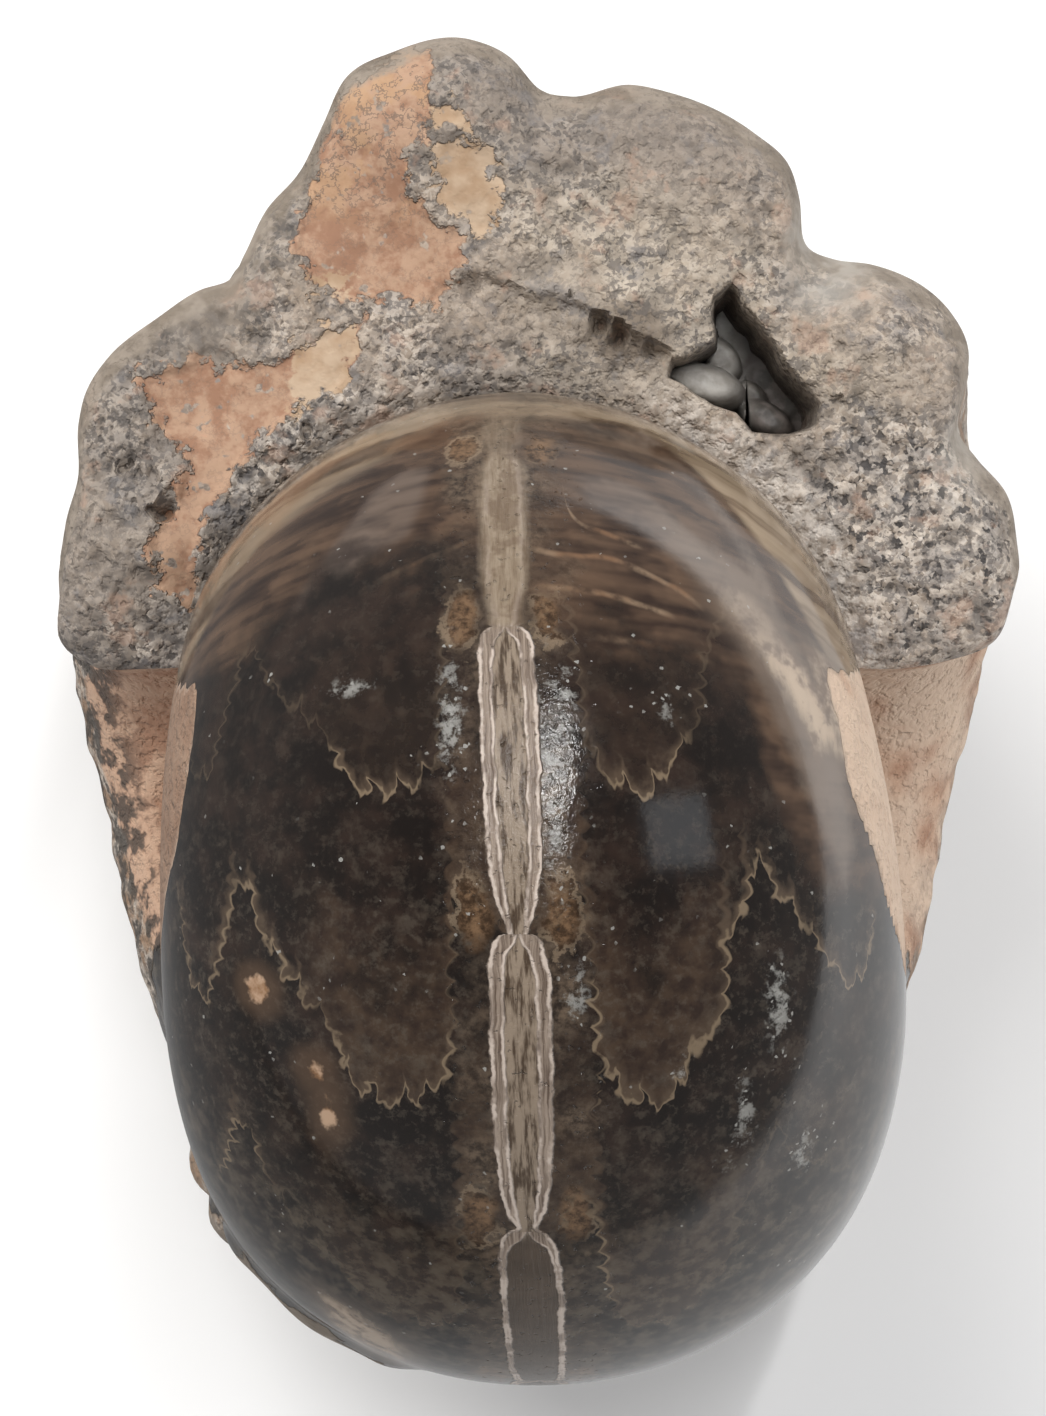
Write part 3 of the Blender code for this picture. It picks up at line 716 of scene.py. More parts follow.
# %% Chambers, marks and edges along the coil
NECKS = (  # (back, chamber)
    (84, 8), (122, 7), (158, 6), (193, 5), (227.5, 4), (261, 3), (294, 2), (321.5, 1), (350, 0), (380, -1),
)
SIPHUNCLE_AT = ((180, 0.4), (216, -0.3), (228, -0.77), (260, -1.0), (294, -1.35), (312, -1.3), (360, -1.6))
PATTERN_RADIUS = 46.0 * MM
CHAMBER_MM = 26.0  # length of one chamber along the venter
SEAM_ACROSS = 45.0 * MM  # from the siphuncle to the seam, where the next whorl in begins
OUTLINED = {
    "pale": (
        (
            (19.7, 43.0), (23.0, 42.5), (26.0, 45.4), (28.7, 50.1), (31.4, 55.2), (33.7, 59.5), (34.1, 61.8),
            (30.6, 60.0), (29.2, 62.6), (28.2, 58.3), (25.7, 54.4), (22.5, 50.1), (20.1, 46.8),
        ),
        (
            (-18.6, 120.2), (-16.0, 120.2), (-12.1, 122.8), (-9.8, 128.9), (-11.5, 135.2), (-15.2, 133.3),
            (-18.2, 127.0),
        ),
        ((29.5, 45.9), (34.0, 45.4), (36.0, 52.0), (36.0, 60.0), (32.5, 58.0), (30.8, 54.8)),
    ),
    # hazy veils in the calcite, with painted sheen along both flanks
    "veil": (
        (
            (-6.2, 26.9), (-9.6, 26.0), (-12.9, 28.4), (-15.3, 34.5), (-18.7, 41.1), (-22.0, 47.3),
            (-26.1, 52.8), (-28.0, 56.7), (-24.6, 57.9), (-19.8, 52.0), (-16.9, 47.3), (-12.5, 41.6),
            (-8.5, 39.2), (-7.0, 33.6),
        ),
        (
            (6.2, 29.8), (9.6, 28.8), (13.5, 29.8), (17.5, 35.0), (21.5, 39.2), (22.7, 42.1), (18.5, 44.0),
            (15.3, 41.1), (11.4, 37.8), (8.0, 35.5),
        ),
        ((17.2, 22.8), (21.5, 31.2), (24.6, 42.1), (26.7, 46.3), (28.0, 46.0), (25.6, 36.0), (21.0, 26.0)),
        (
            (19.5, 36.0), (24.0, 39.0), (29.0, 48.0), (33.0, 60.0), (33.5, 72.0), (31.0, 77.0), (27.0, 66.0),
            (23.5, 56.0), (19.5, 47.0),
        ),
    ),
}
OVALS = {  # across, down, half width, half height
    "orange": ((-23.3, 85.4, 1.5, 1.5), (-17.5, 91.6, 1.1, 1.2), (-16.3, 94.9, 0.8, 1.5)),
    # white flecks; those beside the siphuncle, down 58 to 73 mm, are painted glints
    "smudge": (
        (22.2, 86.0, 1.1, 3.4), (18.4, 95.5, 0.8, 2.6), (-14.2, 56.7, 1.9, 0.7), (13.6, 59.0, 0.5, 1.0),
        (24.0, 103.0, 0.9, 2.0), (13.0, 90.0, 0.6, 0.9), (16.5, 100.0, 0.6, 0.8), (4.6, 58.5, 0.9, 2.4),
        (-5.0, 60.0, 0.9, 4.4), (4.6, 82.6, 0.8, 1.6), (3.4, 66.0, 0.6, 6.5),
    ),
    "shown": (  # where the suture is clearest
        (14.0, 88.0, 11.0, 9.0), (21.0, 77.0, 5.0, 9.0), (30.0, 84.0, 5.0, 9.0), (-10.5, 91.0, 8.0, 6.0),
        (-22.0, 80.0, 4.0, 10.0), (-30.0, 80.0, 4.0, 12.0), (-12.0, 66.0, 6.0, 4.0), (12.0, 65.0, 4.0, 4.0),
        (-27.0, 106.0, 3.0, 10.0), (5.0, 107.0, 3.0, 5.0),
    ),
}
ROCK_EDGE = (  # (down the coil, from the siphuncle) where salmon rock covers the polished flank
    (34.0, 46.0), (45.0, 38.0), (49.5, 33.0), (54.0, 32.8), (58.7, 33.0), (63.8, 33.8), (71.0, 35.6),
    (77.6, 38.0), (87.0, 41.1), (95.0, 43.3), (104.0, 47.0),
)


# %% Numbers carried by the coil's points
def into_ovals(ovals, across, down):
    """Distance into the nearest oval: its smaller half width * (1 - distance from its middle in half
    widths)."""
    inside = [
        min(wide, high) * (1.0 - np.hypot((across - x) / wide, (down - y) / high))
        for x, y, wide, high in ovals
    ]
    return np.clip(np.max(inside, axis=0), -4.0, 4.0)


def coil_known(points, backs, betas, is_inner=False):
    """What the finish reads on a patch of the coil. `across` is the summed length of the steps between the
    columns, less its value at the siphuncle. The next whorl in has no polish and starts at the seam."""
    back, beta = np.meshgrid(backs, betas, indexing="ij")
    steps = np.linalg.norm(np.diff(points, axis=1), axis=-1)
    length = np.concatenate((np.zeros((len(backs), 1)), np.cumsum(steps, axis=1)), axis=1)
    at_middle = length[:, [len(betas) // 2]] + np.interp(backs, *np.array(SIPHUNCLE_AT).T)[:, None] * MM
    across = (length + SEAM_ACROSS if is_inner else length - at_middle) / MM
    across = across * PATTERN_RADIUS / venter_radius(back)
    chamber = np.interp(back, *np.array(NECKS, float).T)
    down = chamber * CHAMBER_MM
    over_edge = np.abs(across) - np.interp(down, *np.array(ROCK_EDGE).T)
    over_edge = over_edge + 0.8 * value_noise(points / MM, 5.0, 81.0)
    behind = smoothstep(back + 3.0 * value_noise(points / MM, 4.0, 83.0), 220.0, 224.0)
    rock = behind * smoothstep(over_edge, -0.4, 0.4)
    polish = smoothstep(back - rough_margin(beta), 150.0, 184.0)
    polish = polish * (1.0 - smoothstep(np.abs(beta), 150.0, 176.0))
    return {
        "chamber": chamber,
        "across": across,
        **{name: into_any(outlines, across, down) for name, outlines in OUTLINED.items()},
        **{name: into_ovals(ovals, across, down) for name, ovals in OVALS.items()},
        "polish": polish * (1.0 - rock) * (not is_inner),
        "rock": rock * (not is_inner),
        "under_face": np.clip(np.radians(WHORL - back) * venter_radius(back) / MM, 0.0, 60.0),
        "around": np.ones_like(back) if is_inner else np.abs(beta) / 180.0,
        "notch": in_notch(beta) * (1.0 - smoothstep(back, 2.0, 9.0)),
    }


def at_face_edges(grid):
    """A coil number at the face's own points: from the coil's last row on the inner arc, and from its first
    row on the rim and down both walls."""
    _, along, _, betas, walls = FACE_GRID
    values = np.where(along < 0.5, np.interp(betas, BETAS, grid[-1]), np.interp(betas, BETAS, grid[0]))
    values[1:, 0], values[1:, -1] = (np.interp(side * walls[1:], BETAS, grid[0]) for side in (-1.0, 1.0))
    return values


# %% The patches and their numbers
outer_known = coil_known(coil, ROWS, BETAS)
OFF_FACE = {"salmon": -4.0, "cream": -4.0, "hollow": -20.0, "to_rim": 12.0, "to_arc": 12.0}
patches = {}
for side, (whorl, plug) in UMBILICI.items():
    patches[side + "_plug"] = plug, {"around": np.ones(plug.shape[:2])}
    patches[side + "_whorl"] = whorl, coil_known(whorl, WHORL + ROWS, WALL, is_inner=True)
patches["coil"] = coil, outer_known
patches["face"] = face, {name: at_face_edges(grid) for name, grid in outer_known.items()} | face_known
print("numbers at each point:", ", ".join(patches["face"][1]))

# %% [markdown]
# ## One closed skin
#
# All patches share their edges. A voxel remesh would close them, but it would blur the ribs. So points at
# the same place become one, and the face's finer edge points are set into the coil's first and last row of
# faces, so that nothing gapes. The ribs that the fossil lies on are worn flat at the ground.

# %% Joining the patches
WELD = 0.01 * MM


def quads(grid):
    """Four-cornered faces over a grid of point numbers."""
    return np.stack((grid[:-1, :-1], grid[:-1, 1:], grid[1:, 1:], grid[1:, :-1]), -1).reshape(-1, 4).tolist()


def weld(points):
    """Places without repeats, and each point's number among them."""
    flat = points.reshape(-1, 3)
    rounded = np.round(flat / WELD).astype(np.int64)
    _, first, numbers = np.unique(rounded, axis=0, return_index=True, return_inverse=True)
    return flat[first], numbers.reshape(points.shape[:-1])


def coil_faces(grid, fine):
    """The coil's faces: its first row takes in every edge point of the face's walls and rim, and its last
    row those of the inner arc."""
    path = np.concatenate((fine[:, 0], fine[-1, 1:], fine[-2::-1, -1]))
    strides = [FINER_ALONG] * WALL_STEPS + [FINER_ACROSS] * COLUMNS + [FINER_ALONG] * WALL_STEPS
    at = np.concatenate(([0], np.cumsum(strides)))
    first = [[*path[at[i] : at[i + 1] + 1], grid[1, i + 1], grid[1, i]] for i in range(len(strides))]
    last = []
    for k in range(COLUMNS):
        arc = fine[0, k * FINER_ACROSS : (k + 1) * FINER_ACROSS + 1]
        last.append([grid[-2, WALL_STEPS + k], grid[-2, WALL_STEPS + k + 1], *arc[::-1]])
    walls = quads(grid[-2:, : WALL_STEPS + 1]) + quads(grid[-2:, -WALL_STEPS - 1 :])
    return quads(grid[1:-1]) + walls + first + last


def without_repeats(faces):
    """Faces with each point named once, and none with fewer than three: where a ring closes to a point, a
    four-cornered face has two or more alike."""
    once = (list(dict.fromkeys(face)) for face in faces)
    return [face for face in once if len(face) > 2]


def join_patches():
    """Point places, shell faces, broken stone's faces, and the numbers at the points."""
    joined, welded = weld(np.concatenate([points.reshape(-1, 3) for points, _ in patches.values()]))
    joined[:, 2] = np.maximum(joined[:, 2], 0.0)
    grids, known, start = {}, {}, 0
    for name, (points, numbers) in patches.items():
        count = points[..., 0].size
        grids[name] = welded[start : start + count].reshape(points.shape[:2])
        for label, values in numbers.items():
            known.setdefault(label, np.full(len(joined), OFF_FACE.get(label, 0.0)))[grids[name]] = values
        start += count
    shell, stone = coil_faces(grids["coil"], grids["face"]), quads(grids["face"])
    for side in UMBILICI:
        shell += quads(grids[side + "_whorl"])
        stone += without_repeats(quads(grids[side + "_plug"]))
    return joined, shell, stone, known


joined, shell_faces, stone_faces, known = join_patches()
print(len(joined), "points,", len(shell_faces), "shell faces,", len(stone_faces), "stone faces")

# %% The fossil's mesh
SHARP = math.radians(52.0)


def add_mesh(name, points, faces):
    """A mesh object at the origin, its points and faces given."""
    mesh = bpy.data.meshes.new(name)
    mesh.from_pydata(points.tolist(), [], faces)
    return put(name, mesh)


def turn_outwards(mesh):
    """Makes a closed mesh's faces agree and point outwards, shades them smooth and drops loose points."""
    edit = bmesh.new()
    edit.from_mesh(mesh)
    bmesh.ops.delete(edit, geom=[vert for vert in edit.verts if not vert.link_faces], context="VERTS")
    bmesh.ops.recalc_face_normals(edit, faces=edit.faces)
    edit.to_mesh(mesh)
    edit.free()
    mesh.shade_smooth()


fossil = add_mesh("fossil", joined, shell_faces + stone_faces)
for label, values in known.items():
    carried = fossil.data.attributes.new(label, "FLOAT", "POINT")
    carried.data.foreach_set("value", values.astype(np.float32))
is_stone = np.repeat((0, 1), (len(shell_faces), len(stone_faces))).astype(np.int32)
fossil.data.polygons.foreach_set("material_index", is_stone)
turn_outwards(fossil.data)
fossil.data.set_sharp_from_angle(angle=SHARP)
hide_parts("ammonite")
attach(fossil, "root")
print("fossil:", sum(len(p.vertices) - 2 for p in fossil.data.polygons), "triangles")

# %% [markdown]
# ## Patterns and coats
#
# Stone gets its look from coats: each is a mask from 0 to 1 and a colour, laid over what is below it. One
# ramp over one noise would be shorter, but could not put each colour in its own place. The masks come from
# noise in millimetres, from the numbers that the points carry, and from the place. Effects that several
# finishes use are node groups with named inputs and outputs.


# %% Coats and curves
def paint(colour, *coats):
    """Coats over a colour, one after another. Each is a mask and a colour."""
    for mask, coat in coats:
        colour = mix(mask, colour, coat)
    return colour


def tones(value, low, high, pair):
    """The first colour of a pair where the value is low, and the second where it is high."""
    return mix(smooth(value, low, high), *pair)


def curve(value, points):
    """A smooth curve through (input, output) points, both from 0 to 1."""
    made = add_node(value.tree, "FloatCurve", {"Value": value})
    line = made.mapping.curves[0]
    for place, height in points[1:-1]:
        line.points.new(place, height)
    line.points[0].location, line.points[-1].location = points[0], points[-1]
    made.mapping.update()
    return Field(made.outputs[0])


# %% Noise, cells, places and bumps
def noise(place, size, detail=2.0, roughness=0.5):
    """Blender's noise in 0..1, mostly 0.3..0.7, with features about `size` mm across."""
    inputs = {"Vector": place, "Scale": 1.0 / size, "Detail": detail, "Roughness": roughness}
    return Field(add_node(place.tree, "TexNoise", inputs).outputs[0])


def streaks(x, y, detail=3.0, roughness=0.6):
    """Noise over two numbers; the one that changes less gives the streaks their direction."""
    return noise(vector(x, y, 0.0), 1.0, detail, roughness)


def cells(place, size):
    """Voronoi cells about `size` mm across: distance from the middle, and a random number per cell."""
    tree = place.tree
    made = add_node(tree, "TexVoronoi", {"Vector": place, "Scale": 1.0 / size})
    split = add_node(tree, "SeparateColor", {0: Field(made.outputs["Color"])})
    return Field(made.outputs["Distance"]), Field(split.outputs[0])


def hypotenuse(x, y):
    """The square root of x squared + y squared."""
    return combine("SQRT", x**2 + y**2)


def numbers(tree, *names):
    """Numbers carried by the mesh's points."""
    return [source(tree, "Attribute", "Fac", attribute_name=name) for name in names]


def place_in_mm(tree):
    """Object coordinates in millimetres."""
    inputs = {0: source(tree, "TexCoord", "Object"), "Scale": 1.0 / MM}
    return Field(add_node(tree, "VectorMath", inputs, operation="SCALE").outputs[0])


def bump(height, depth):
    """The normal of a surface whose height Field is scaled by `depth` mm."""
    made = add_node(height.tree, "Bump", {"Height": height, "Distance": depth * MM})
    return Field(made.outputs[0])


# %% Node groups
def start_group(name, **inputs):
    """A node group's tree and its inputs: a number makes a float socket, and None a vector one."""
    tree = bpy.data.node_groups.new(name, "ShaderNodeTree")
    for label, value in inputs.items():
        kind = "NodeSocketVector" if value is None else "NodeSocketFloat"
        socket = tree.interface.new_socket(label, in_out="INPUT", socket_type=kind)
        if value is not None:
            socket.default_value = value
    entry = tree.nodes.new("NodeGroupInput")
    return tree, *(Field(entry.outputs[label]) for label in inputs)


def finish_group(tree, **outputs):
    """Gives the group its outputs, as colours or as numbers."""
    for label, field in outputs.items():
        kind = "NodeSocketColor" if field.socket.type == "RGBA" else "NodeSocketFloat"
        tree.interface.new_socket(label, in_out="OUTPUT", socket_type=kind)
    leave = tree.nodes.new("NodeGroupOutput")
    for label, field in outputs.items():
        tree.links.new(field.socket, leave.inputs[label])
    print("node group", tree.name + ":", len(tree.nodes), "nodes")
    return tree


def use_group(tree, group, **values):
    """Places a group in a tree; gives its outputs by name."""
    made = tree.nodes.new("ShaderNodeGroup")
    made.node_tree = group
    fill(made, values)
    return {socket.name: Field(socket) for socket in made.outputs}


# %% [markdown]
# ## Sandstone
#
# The rock that filled the shell is a coarse sandstone: pale cream and pinkish grains, with dark grey ones
# and pores between them. Noise alone would look cloudy, so Voronoi cells make the grains, each with its own
# random tone. The same group serves the broken face, the crust on the old shell and the plug in each
# umbilicus.

# %% The sandstone group
GRAIN_MM, FINE_GRAIN_MM = 0.62, 0.33
PALE_GRAINS = ((0.285, 0.235, 0.19), (0.51, 0.445, 0.38))
BRIGHT_GRAIN = (0.64, 0.58, 0.52)
TAN_STONE = ((0.28, 0.21, 0.15), (0.40, 0.315, 0.24))
CEMENT = (0.235, 0.215, 0.20)
PORE = (0.040, 0.037, 0.037)


def make_sandstone():
    """Colour and height of the stone. `contrast` runs from evenly tan (0) to salt and pepper (1)."""
    tree, place, contrast, warmth = start_group("sandstone", place=None, contrast=0.5, warmth=0.5)
    from_middle, tone = cells(place, GRAIN_MM)
    _, fine_tone = cells(place, FINE_GRAIN_MM)
    patchy, pore = noise(place, 2.4, 3.0, 0.6), noise(place, 0.95, 2.0, 0.6)
    colour = paint(
        tones(tone, 0.1, 0.9, PALE_GRAINS),
        (smooth(fine_tone, 0.76, 0.9) * 0.45, BRIGHT_GRAIN),
        (warmth * 0.6, tones(noise(place, 4.0), 0.35, 0.65, TAN_STONE)),
        (smooth(patchy, 0.58, 0.42) * (0.2 + 0.8 * contrast) * 0.6, CEMENT),
        (smooth(pore + (tone - 0.5) * 0.22, 0.45, 0.34) * (0.12 + 0.88 * contrast) * 0.92, PORE),
    )
    height = (1.0 - from_middle) * 0.25 + smooth(pore, 0.28, 0.55) * 0.6 + patchy * 0.6
    return finish_group(tree, colour=colour, height=height)


SANDSTONE = make_sandstone()

# %% [markdown]
# ## The broken face's finish
#
# The break runs through sandstone, through smooth salmon and cream patches and through a rim of old shell.
# They could be separate materials on separate faces, but their edges would follow the mesh. As coats of one
# material, their edges follow the distances that the points carry, made ragged by noise.

# %% The broken face's finish
SALMON = ((0.285, 0.155, 0.097), (0.405, 0.262, 0.176))
SALMON_ORANGE, SALMON_PINK, VEIN = (0.42, 0.26, 0.145), (0.50, 0.27, 0.175), (0.16, 0.115, 0.09)
CREAM = ((0.36, 0.24, 0.148), (0.475, 0.355, 0.25))
OLD_SHELL = ((0.185, 0.150, 0.115), (0.27, 0.225, 0.18))
NOTCH = (0.36, 0.335, 0.30)
# painted shade for low spots of the relief, and a clay tone
CRANNY_SHADE, CLAY = (0.075, 0.065, 0.058), (0.25, 0.205, 0.165)
PALE_ROCK = ((0.36, 0.31, 0.25), (0.50, 0.43, 0.34))
FRINGE = ((0.26, 0.215, 0.175), (0.66, 0.60, 0.54))
GREY_TOP, BY_ARC, SLOPE = (0.17, 0.145, 0.125), (0.16, 0.13, 0.105), (0.15, 0.125, 0.10)
# painted shade round the pits by the ledge, and its middle in mm
CREVICE_SHADE, CREVICE_SHADE_AT = (0.105, 0.078, 0.056), (8.5, 34.4)
LEFT_ROCK = ((0.10, 0.08, 0.065), (0.24, 0.20, 0.165))
PEPPER = (0.085, 0.076, 0.072)
PINK_TINT, BLUE_TINT = (0.42, 0.26, 0.18), (0.16, 0.155, 0.16)
HOLLOW_SHADE = (0.042, 0.034, 0.029)


def make_broken_stone():
    """Sandstone with inlaid smooth patches, smooth old shell at the rim, and painted shade in the hollow."""
    made, tree, shader = start_material("broken_stone")
    place = place_in_mm(tree)
    x, y, _ = parts(place)
    to_arc, to_rim, grains, notch, hollow = numbers(tree, "to_arc", "to_rim", "grains", "notch", "hollow")
    wander, broad, tint = noise(place, 2.4, 3.0, 0.6) - 0.5, noise(place, 9.0), noise(place, 5.0, 4.0, 0.65)
    blotch, mottle = noise(place, 3.5, 3.0, 0.6), noise(place, 1.3, 3.0, 0.65)
    # where the rock is salt and pepper, and where it is evenly tan
    by_arc, left = smooth(to_arc + wander * 4.0, 6.5, 3.0) * smooth(x, 12.0, -8.0), smooth(x, -24.0, -34.0)
    low_right = smooth(x, 18.0, 28.0) * smooth(y, 30.0, 18.0)
    speckled = low_right * 0.8 + by_arc * 0.7 + left * 0.5 + smooth(broad, 0.46, 0.62) * 0.5 + 0.10
    contrast = combine("MINIMUM", speckled, 1.0)
    stone = use_group(tree, SANDSTONE, place=place, contrast=contrast, warmth=1.0 - contrast)
    # zones of the rock
    pale_middle = smooth(x, -6.0, 2.0) * smooth(y, 24.0, 31.0) * smooth(to_rim, 5.0, 12.0)
    grey_top = smooth(y + wander * 5.0, 44.0, 52.0) * smooth(x, -20.0, -8.0) * smooth(to_rim, 16.0, 7.0)
    fringe = smooth(to_arc + wander * 3.0, 5.2, 2.2) * smooth(x, 8.0, 15.0)
    near_arc = smooth(to_arc + wander * 3.0, 9.0, 4.0) * smooth(x, 10.0, 2.0) * smooth(x, -14.0, -6.0)
    slope = smooth(x, -10.0, -20.0) * smooth(x, -38.0, -28.0) * smooth(to_rim, 9.0, 4.0)
    to_crevice_shade = hypotenuse(x - CREVICE_SHADE_AT[0], (y - CREVICE_SHADE_AT[1]) * 1.4) + wander * 3.0
    pepper = smooth(noise(place, 1.1, 3.0, 0.7) + (cells(place, 0.45)[1] - 0.5) * 0.30, 0.50, 0.40)
    pepper = pepper * (0.30 + 0.35 * smooth(broad, 0.44, 0.56)) * (1.0 - fringe * 0.6)
    rock = paint(
        stone["colour"],
        # painted shade in the low spots of the grains' relief
        (smooth(grains, -0.05, -0.5) * 0.55, CRANNY_SHADE),
        (smooth(broad, 0.52, 0.38) * 0.25, CLAY),
        (pale_middle * 0.40, tones(broad, 0.4, 0.6, PALE_ROCK)),
        (grey_top * 0.55, GREY_TOP),
        (fringe * 0.65, tones(mottle, 0.38, 0.58, FRINGE)),
        (near_arc * 0.45, BY_ARC),
        (slope * 0.45, SLOPE),
        # painted shade round the pits by the ledge
        (smooth(to_crevice_shade, 5.2, 2.4) * 0.7, CREVICE_SHADE),
        (left * 0.50 * (1.0 - by_arc * 0.6), mix(mottle, *LEFT_ROCK)),
        (pepper, PEPPER),
        (smooth(tint, 0.56, 0.66) * 0.35, PINK_TINT),
        (smooth(tint, 0.44, 0.34) * 0.45, BLUE_TINT),
    )
    # the inlaid patches
    high = smooth(y, 42.0, 50.0)
    vein = smooth(abs(noise(place, 3.0, 4.0, 0.7) - 0.5), 0.022, 0.006) * (0.25 + 0.5 * high)
    salmon = paint(
        tones(blotch + (mottle - 0.5) * 0.8, 0.34, 0.66, SALMON),
        (high * smooth(tint, 0.48, 0.58) * 0.6, SALMON_ORANGE),
        (smooth(mottle, 0.66, 0.78) * 0.5, SALMON_PINK),
        (vein, VEIN),
    )
    edge = wander * 5.0 + (mottle - 0.5) * 4.0
    in_salmon, in_cream = (smooth(field + edge, -0.3, 0.25) for field in numbers(tree, "salmon", "cream"))
    holes = smooth(noise(place, 1.6, 2.0, 0.6) + (broad - 0.5) * 0.2, 0.37, 0.31)
    colour = paint(
        rock,
        (in_salmon * (1.0 - holes * 0.9), salmon),
        (in_cream * (1.0 - holes * 0.6), tones(blotch, 0.35, 0.65, CREAM)),
        (smooth(to_rim + wander * 5.0, 2.8, 1.2) * 0.85, tones(blotch, 0.4, 0.6, OLD_SHELL)),
        (notch * (0.25 + 0.45 * smooth(blotch, 0.4, 0.6)) * (0.12 + 0.88 * smooth(x, -6.0, 2.0)), NOTCH),
        # painted shade inside the hollow
        (smooth(hollow + wander, -0.5, 0.9) * 0.88, HOLLOW_SHADE),
    )
    smoothness = combine("MAXIMUM", combine("MAXIMUM", in_salmon, in_cream) * 0.8, notch)
    height = stone["height"] * (1.0 - smoothness) + blotch * 0.5
    fill(shader, {"Base Color": colour, "Roughness": 0.78, "Normal": bump(height, 0.30)})
    return made


BROKEN_STONE = make_broken_stone()

# %% [markdown]
# ## Sutures
#
# A septum is the wall between two chambers, and the frilled line where it meets the shell is its suture.
# Polishing takes the shell off and shows it. The line drops from the siphuncle into a broad lobe, climbs to
# a saddle on the flank and drops again. Each line could be drawn as a path, but they are all the same one,
# repeated in every chamber. So we slide the chamber count by a curve of the distance from the siphuncle, add
# scalloped teeth and a little wander, and draw a line wherever the result is whole.

# %% The suture group
SUTURE_REACH = 40.0
SUTURE_LIFT = 0.3
SUTURE_LEFT = (  # (distance from the siphuncle in mm, how far down the coil in chambers)
    (0.0, 0.0), (1.0, 0.0), (2.4, -0.08), (3.7, -0.18), (4.8, -0.10), (5.5, 0.16), (6.0, 0.44), (7.6, 0.51),
    (11.6, 0.55), (14.2, 0.50), (15.6, 0.37), (17.9, 0.27), (21.3, 0.15), (23.4, 0.0), (25.2, -0.12),
    (26.9, 0.05), (28.9, 0.30), (30.9, 0.43), (33.5, 0.28), (36.5, 0.0), (40.0, 0.2),
)
SUTURE_RIGHT = (
    (0.0, 0.0), (1.0, 0.0), (3.0, -0.03), (4.4, -0.14), (5.5, -0.06), (6.0, 0.16), (6.3, 0.38), (8.2, 0.50),
    (10.6, 0.55), (13.2, 0.47), (15.2, 0.36), (16.9, 0.24), (17.6, 0.06), (19.4, -0.05), (21.1, -0.20),
    (22.8, -0.10), (25.1, 0.01), (28.1, 0.20), (31.4, 0.33), (34.5, 0.2), (37.0, 0.0), (40.0, 0.0),
)
TEETH = ((2.4, 0.070), (0.8, 0.016))  # (spacing in mm, height in chambers)
TEETH_UP_FLANK = 1.9


def suture_shift(side, profile):
    """How far down the coil the line runs at a distance from the siphuncle, in chambers."""
    points = [(distance / SUTURE_REACH, down + SUTURE_LIFT) for distance, down in profile]
    return curve(side / SUTURE_REACH, points) - SUTURE_LIFT


def scallops(at, spacing):
    """Arches of a width: the size of a sine."""
    return abs(combine("SINE", at * (math.pi / spacing)))


def make_suture():
    """`line` is 1 on the frilled line, and `halo` just above it. `phase` goes from 0 just past one line to 1
    at the next, and `turned` is the chamber count that is whole on the line."""
    tree, place, chamber, across = start_group("suture", place=None, chamber=0.0, across=0.0)
    coarse, fine = noise(place, 3.4) - 0.5, noise(place, 0.8) - 0.5
    on_right = smooth(across, -0.01, 0.01)

    def shift(at):
        left, right = suture_shift(at, SUTURE_LEFT), suture_shift(at, SUTURE_RIGHT)
        return left + (right - left) * on_right

    side = abs(across) + coarse * 1.8 + fine * 0.25
    steep = abs(shift(side + 0.5) - shift(side - 0.5))
    climbing = scallops(chamber * CHAMBER_MM + coarse * 2.0, TEETH_UP_FLANK)
    side = side - (climbing - 0.6) * 0.7 * smooth(steep, 0.04, 0.10)
    steepness = (shift(side + 0.25) - shift(side - 0.25)) / 0.5
    turned = chamber - shift(side) + coarse * 0.03 + fine * 0.006
    for spacing, height in TEETH:
        tooth = scallops(side + coarse * spacing, spacing) - 0.6
        turned = turned - tooth * (smooth(side, 5.5, 7.5) * smooth(steep, 0.12, 0.05) * height)
    phase = combine("FRACT", turned + 10.0)
    gap = combine("MINIMUM", phase, 1.0 - phase) / hypotenuse(steepness, 1.0 / CHAMBER_MM)
    line = smooth(gap * (1.0 + 1.6 * smooth(fine + coarse, 0.2, -0.15)), 0.58, 0.08)
    halo = smooth(gap, 1.7, 0.2) * smooth(phase, 0.4, 0.6)
    return finish_group(tree, line=line, halo=halo, phase=phase, turned=turned)


SUTURE = make_suture()

# %% [markdown]
# ## The siphuncle
#
# The animal's breathing tube runs along the venter through every chamber. Cut open by the polish, it shows
# two pale fibrous walls with a streaky tan core. It narrows to a neck at each septum, and the next length
# starts there as a rounded cap. A tube of its own could lie in the stone, but the polish has cut it level
# with the surface, so it is a mask: its half width is a curve of the share of a chamber since the last neck.
# Near the broken face it isn't opened yet, and shows through the calcite as a soft pale band.

# %% The siphuncle group
TUBE_WIDEST = 3.0
TUBE_HALF_WIDTH = (
    (0.0, 0.40), (0.015, 0.62), (0.05, 0.76), (0.1, 0.82), (0.3, 0.85), (0.6, 0.81), (0.78, 0.74),
    (0.88, 0.63), (0.94, 0.47), (0.98, 0.32), (1.0, 0.28),
)
CORE_HALF_WIDTH = (
    (0.0, 0.0), (0.03, 0.12), (0.07, 0.34), (0.15, 0.42), (0.5, 0.42), (0.75, 0.37), (0.88, 0.28),
    (0.95, 0.19), (1.0, 0.14),
)
BAND_HALF_WIDTH = 2.3
OPENED_AT, LAST_FROM = 2.0, 4.0  # chambers


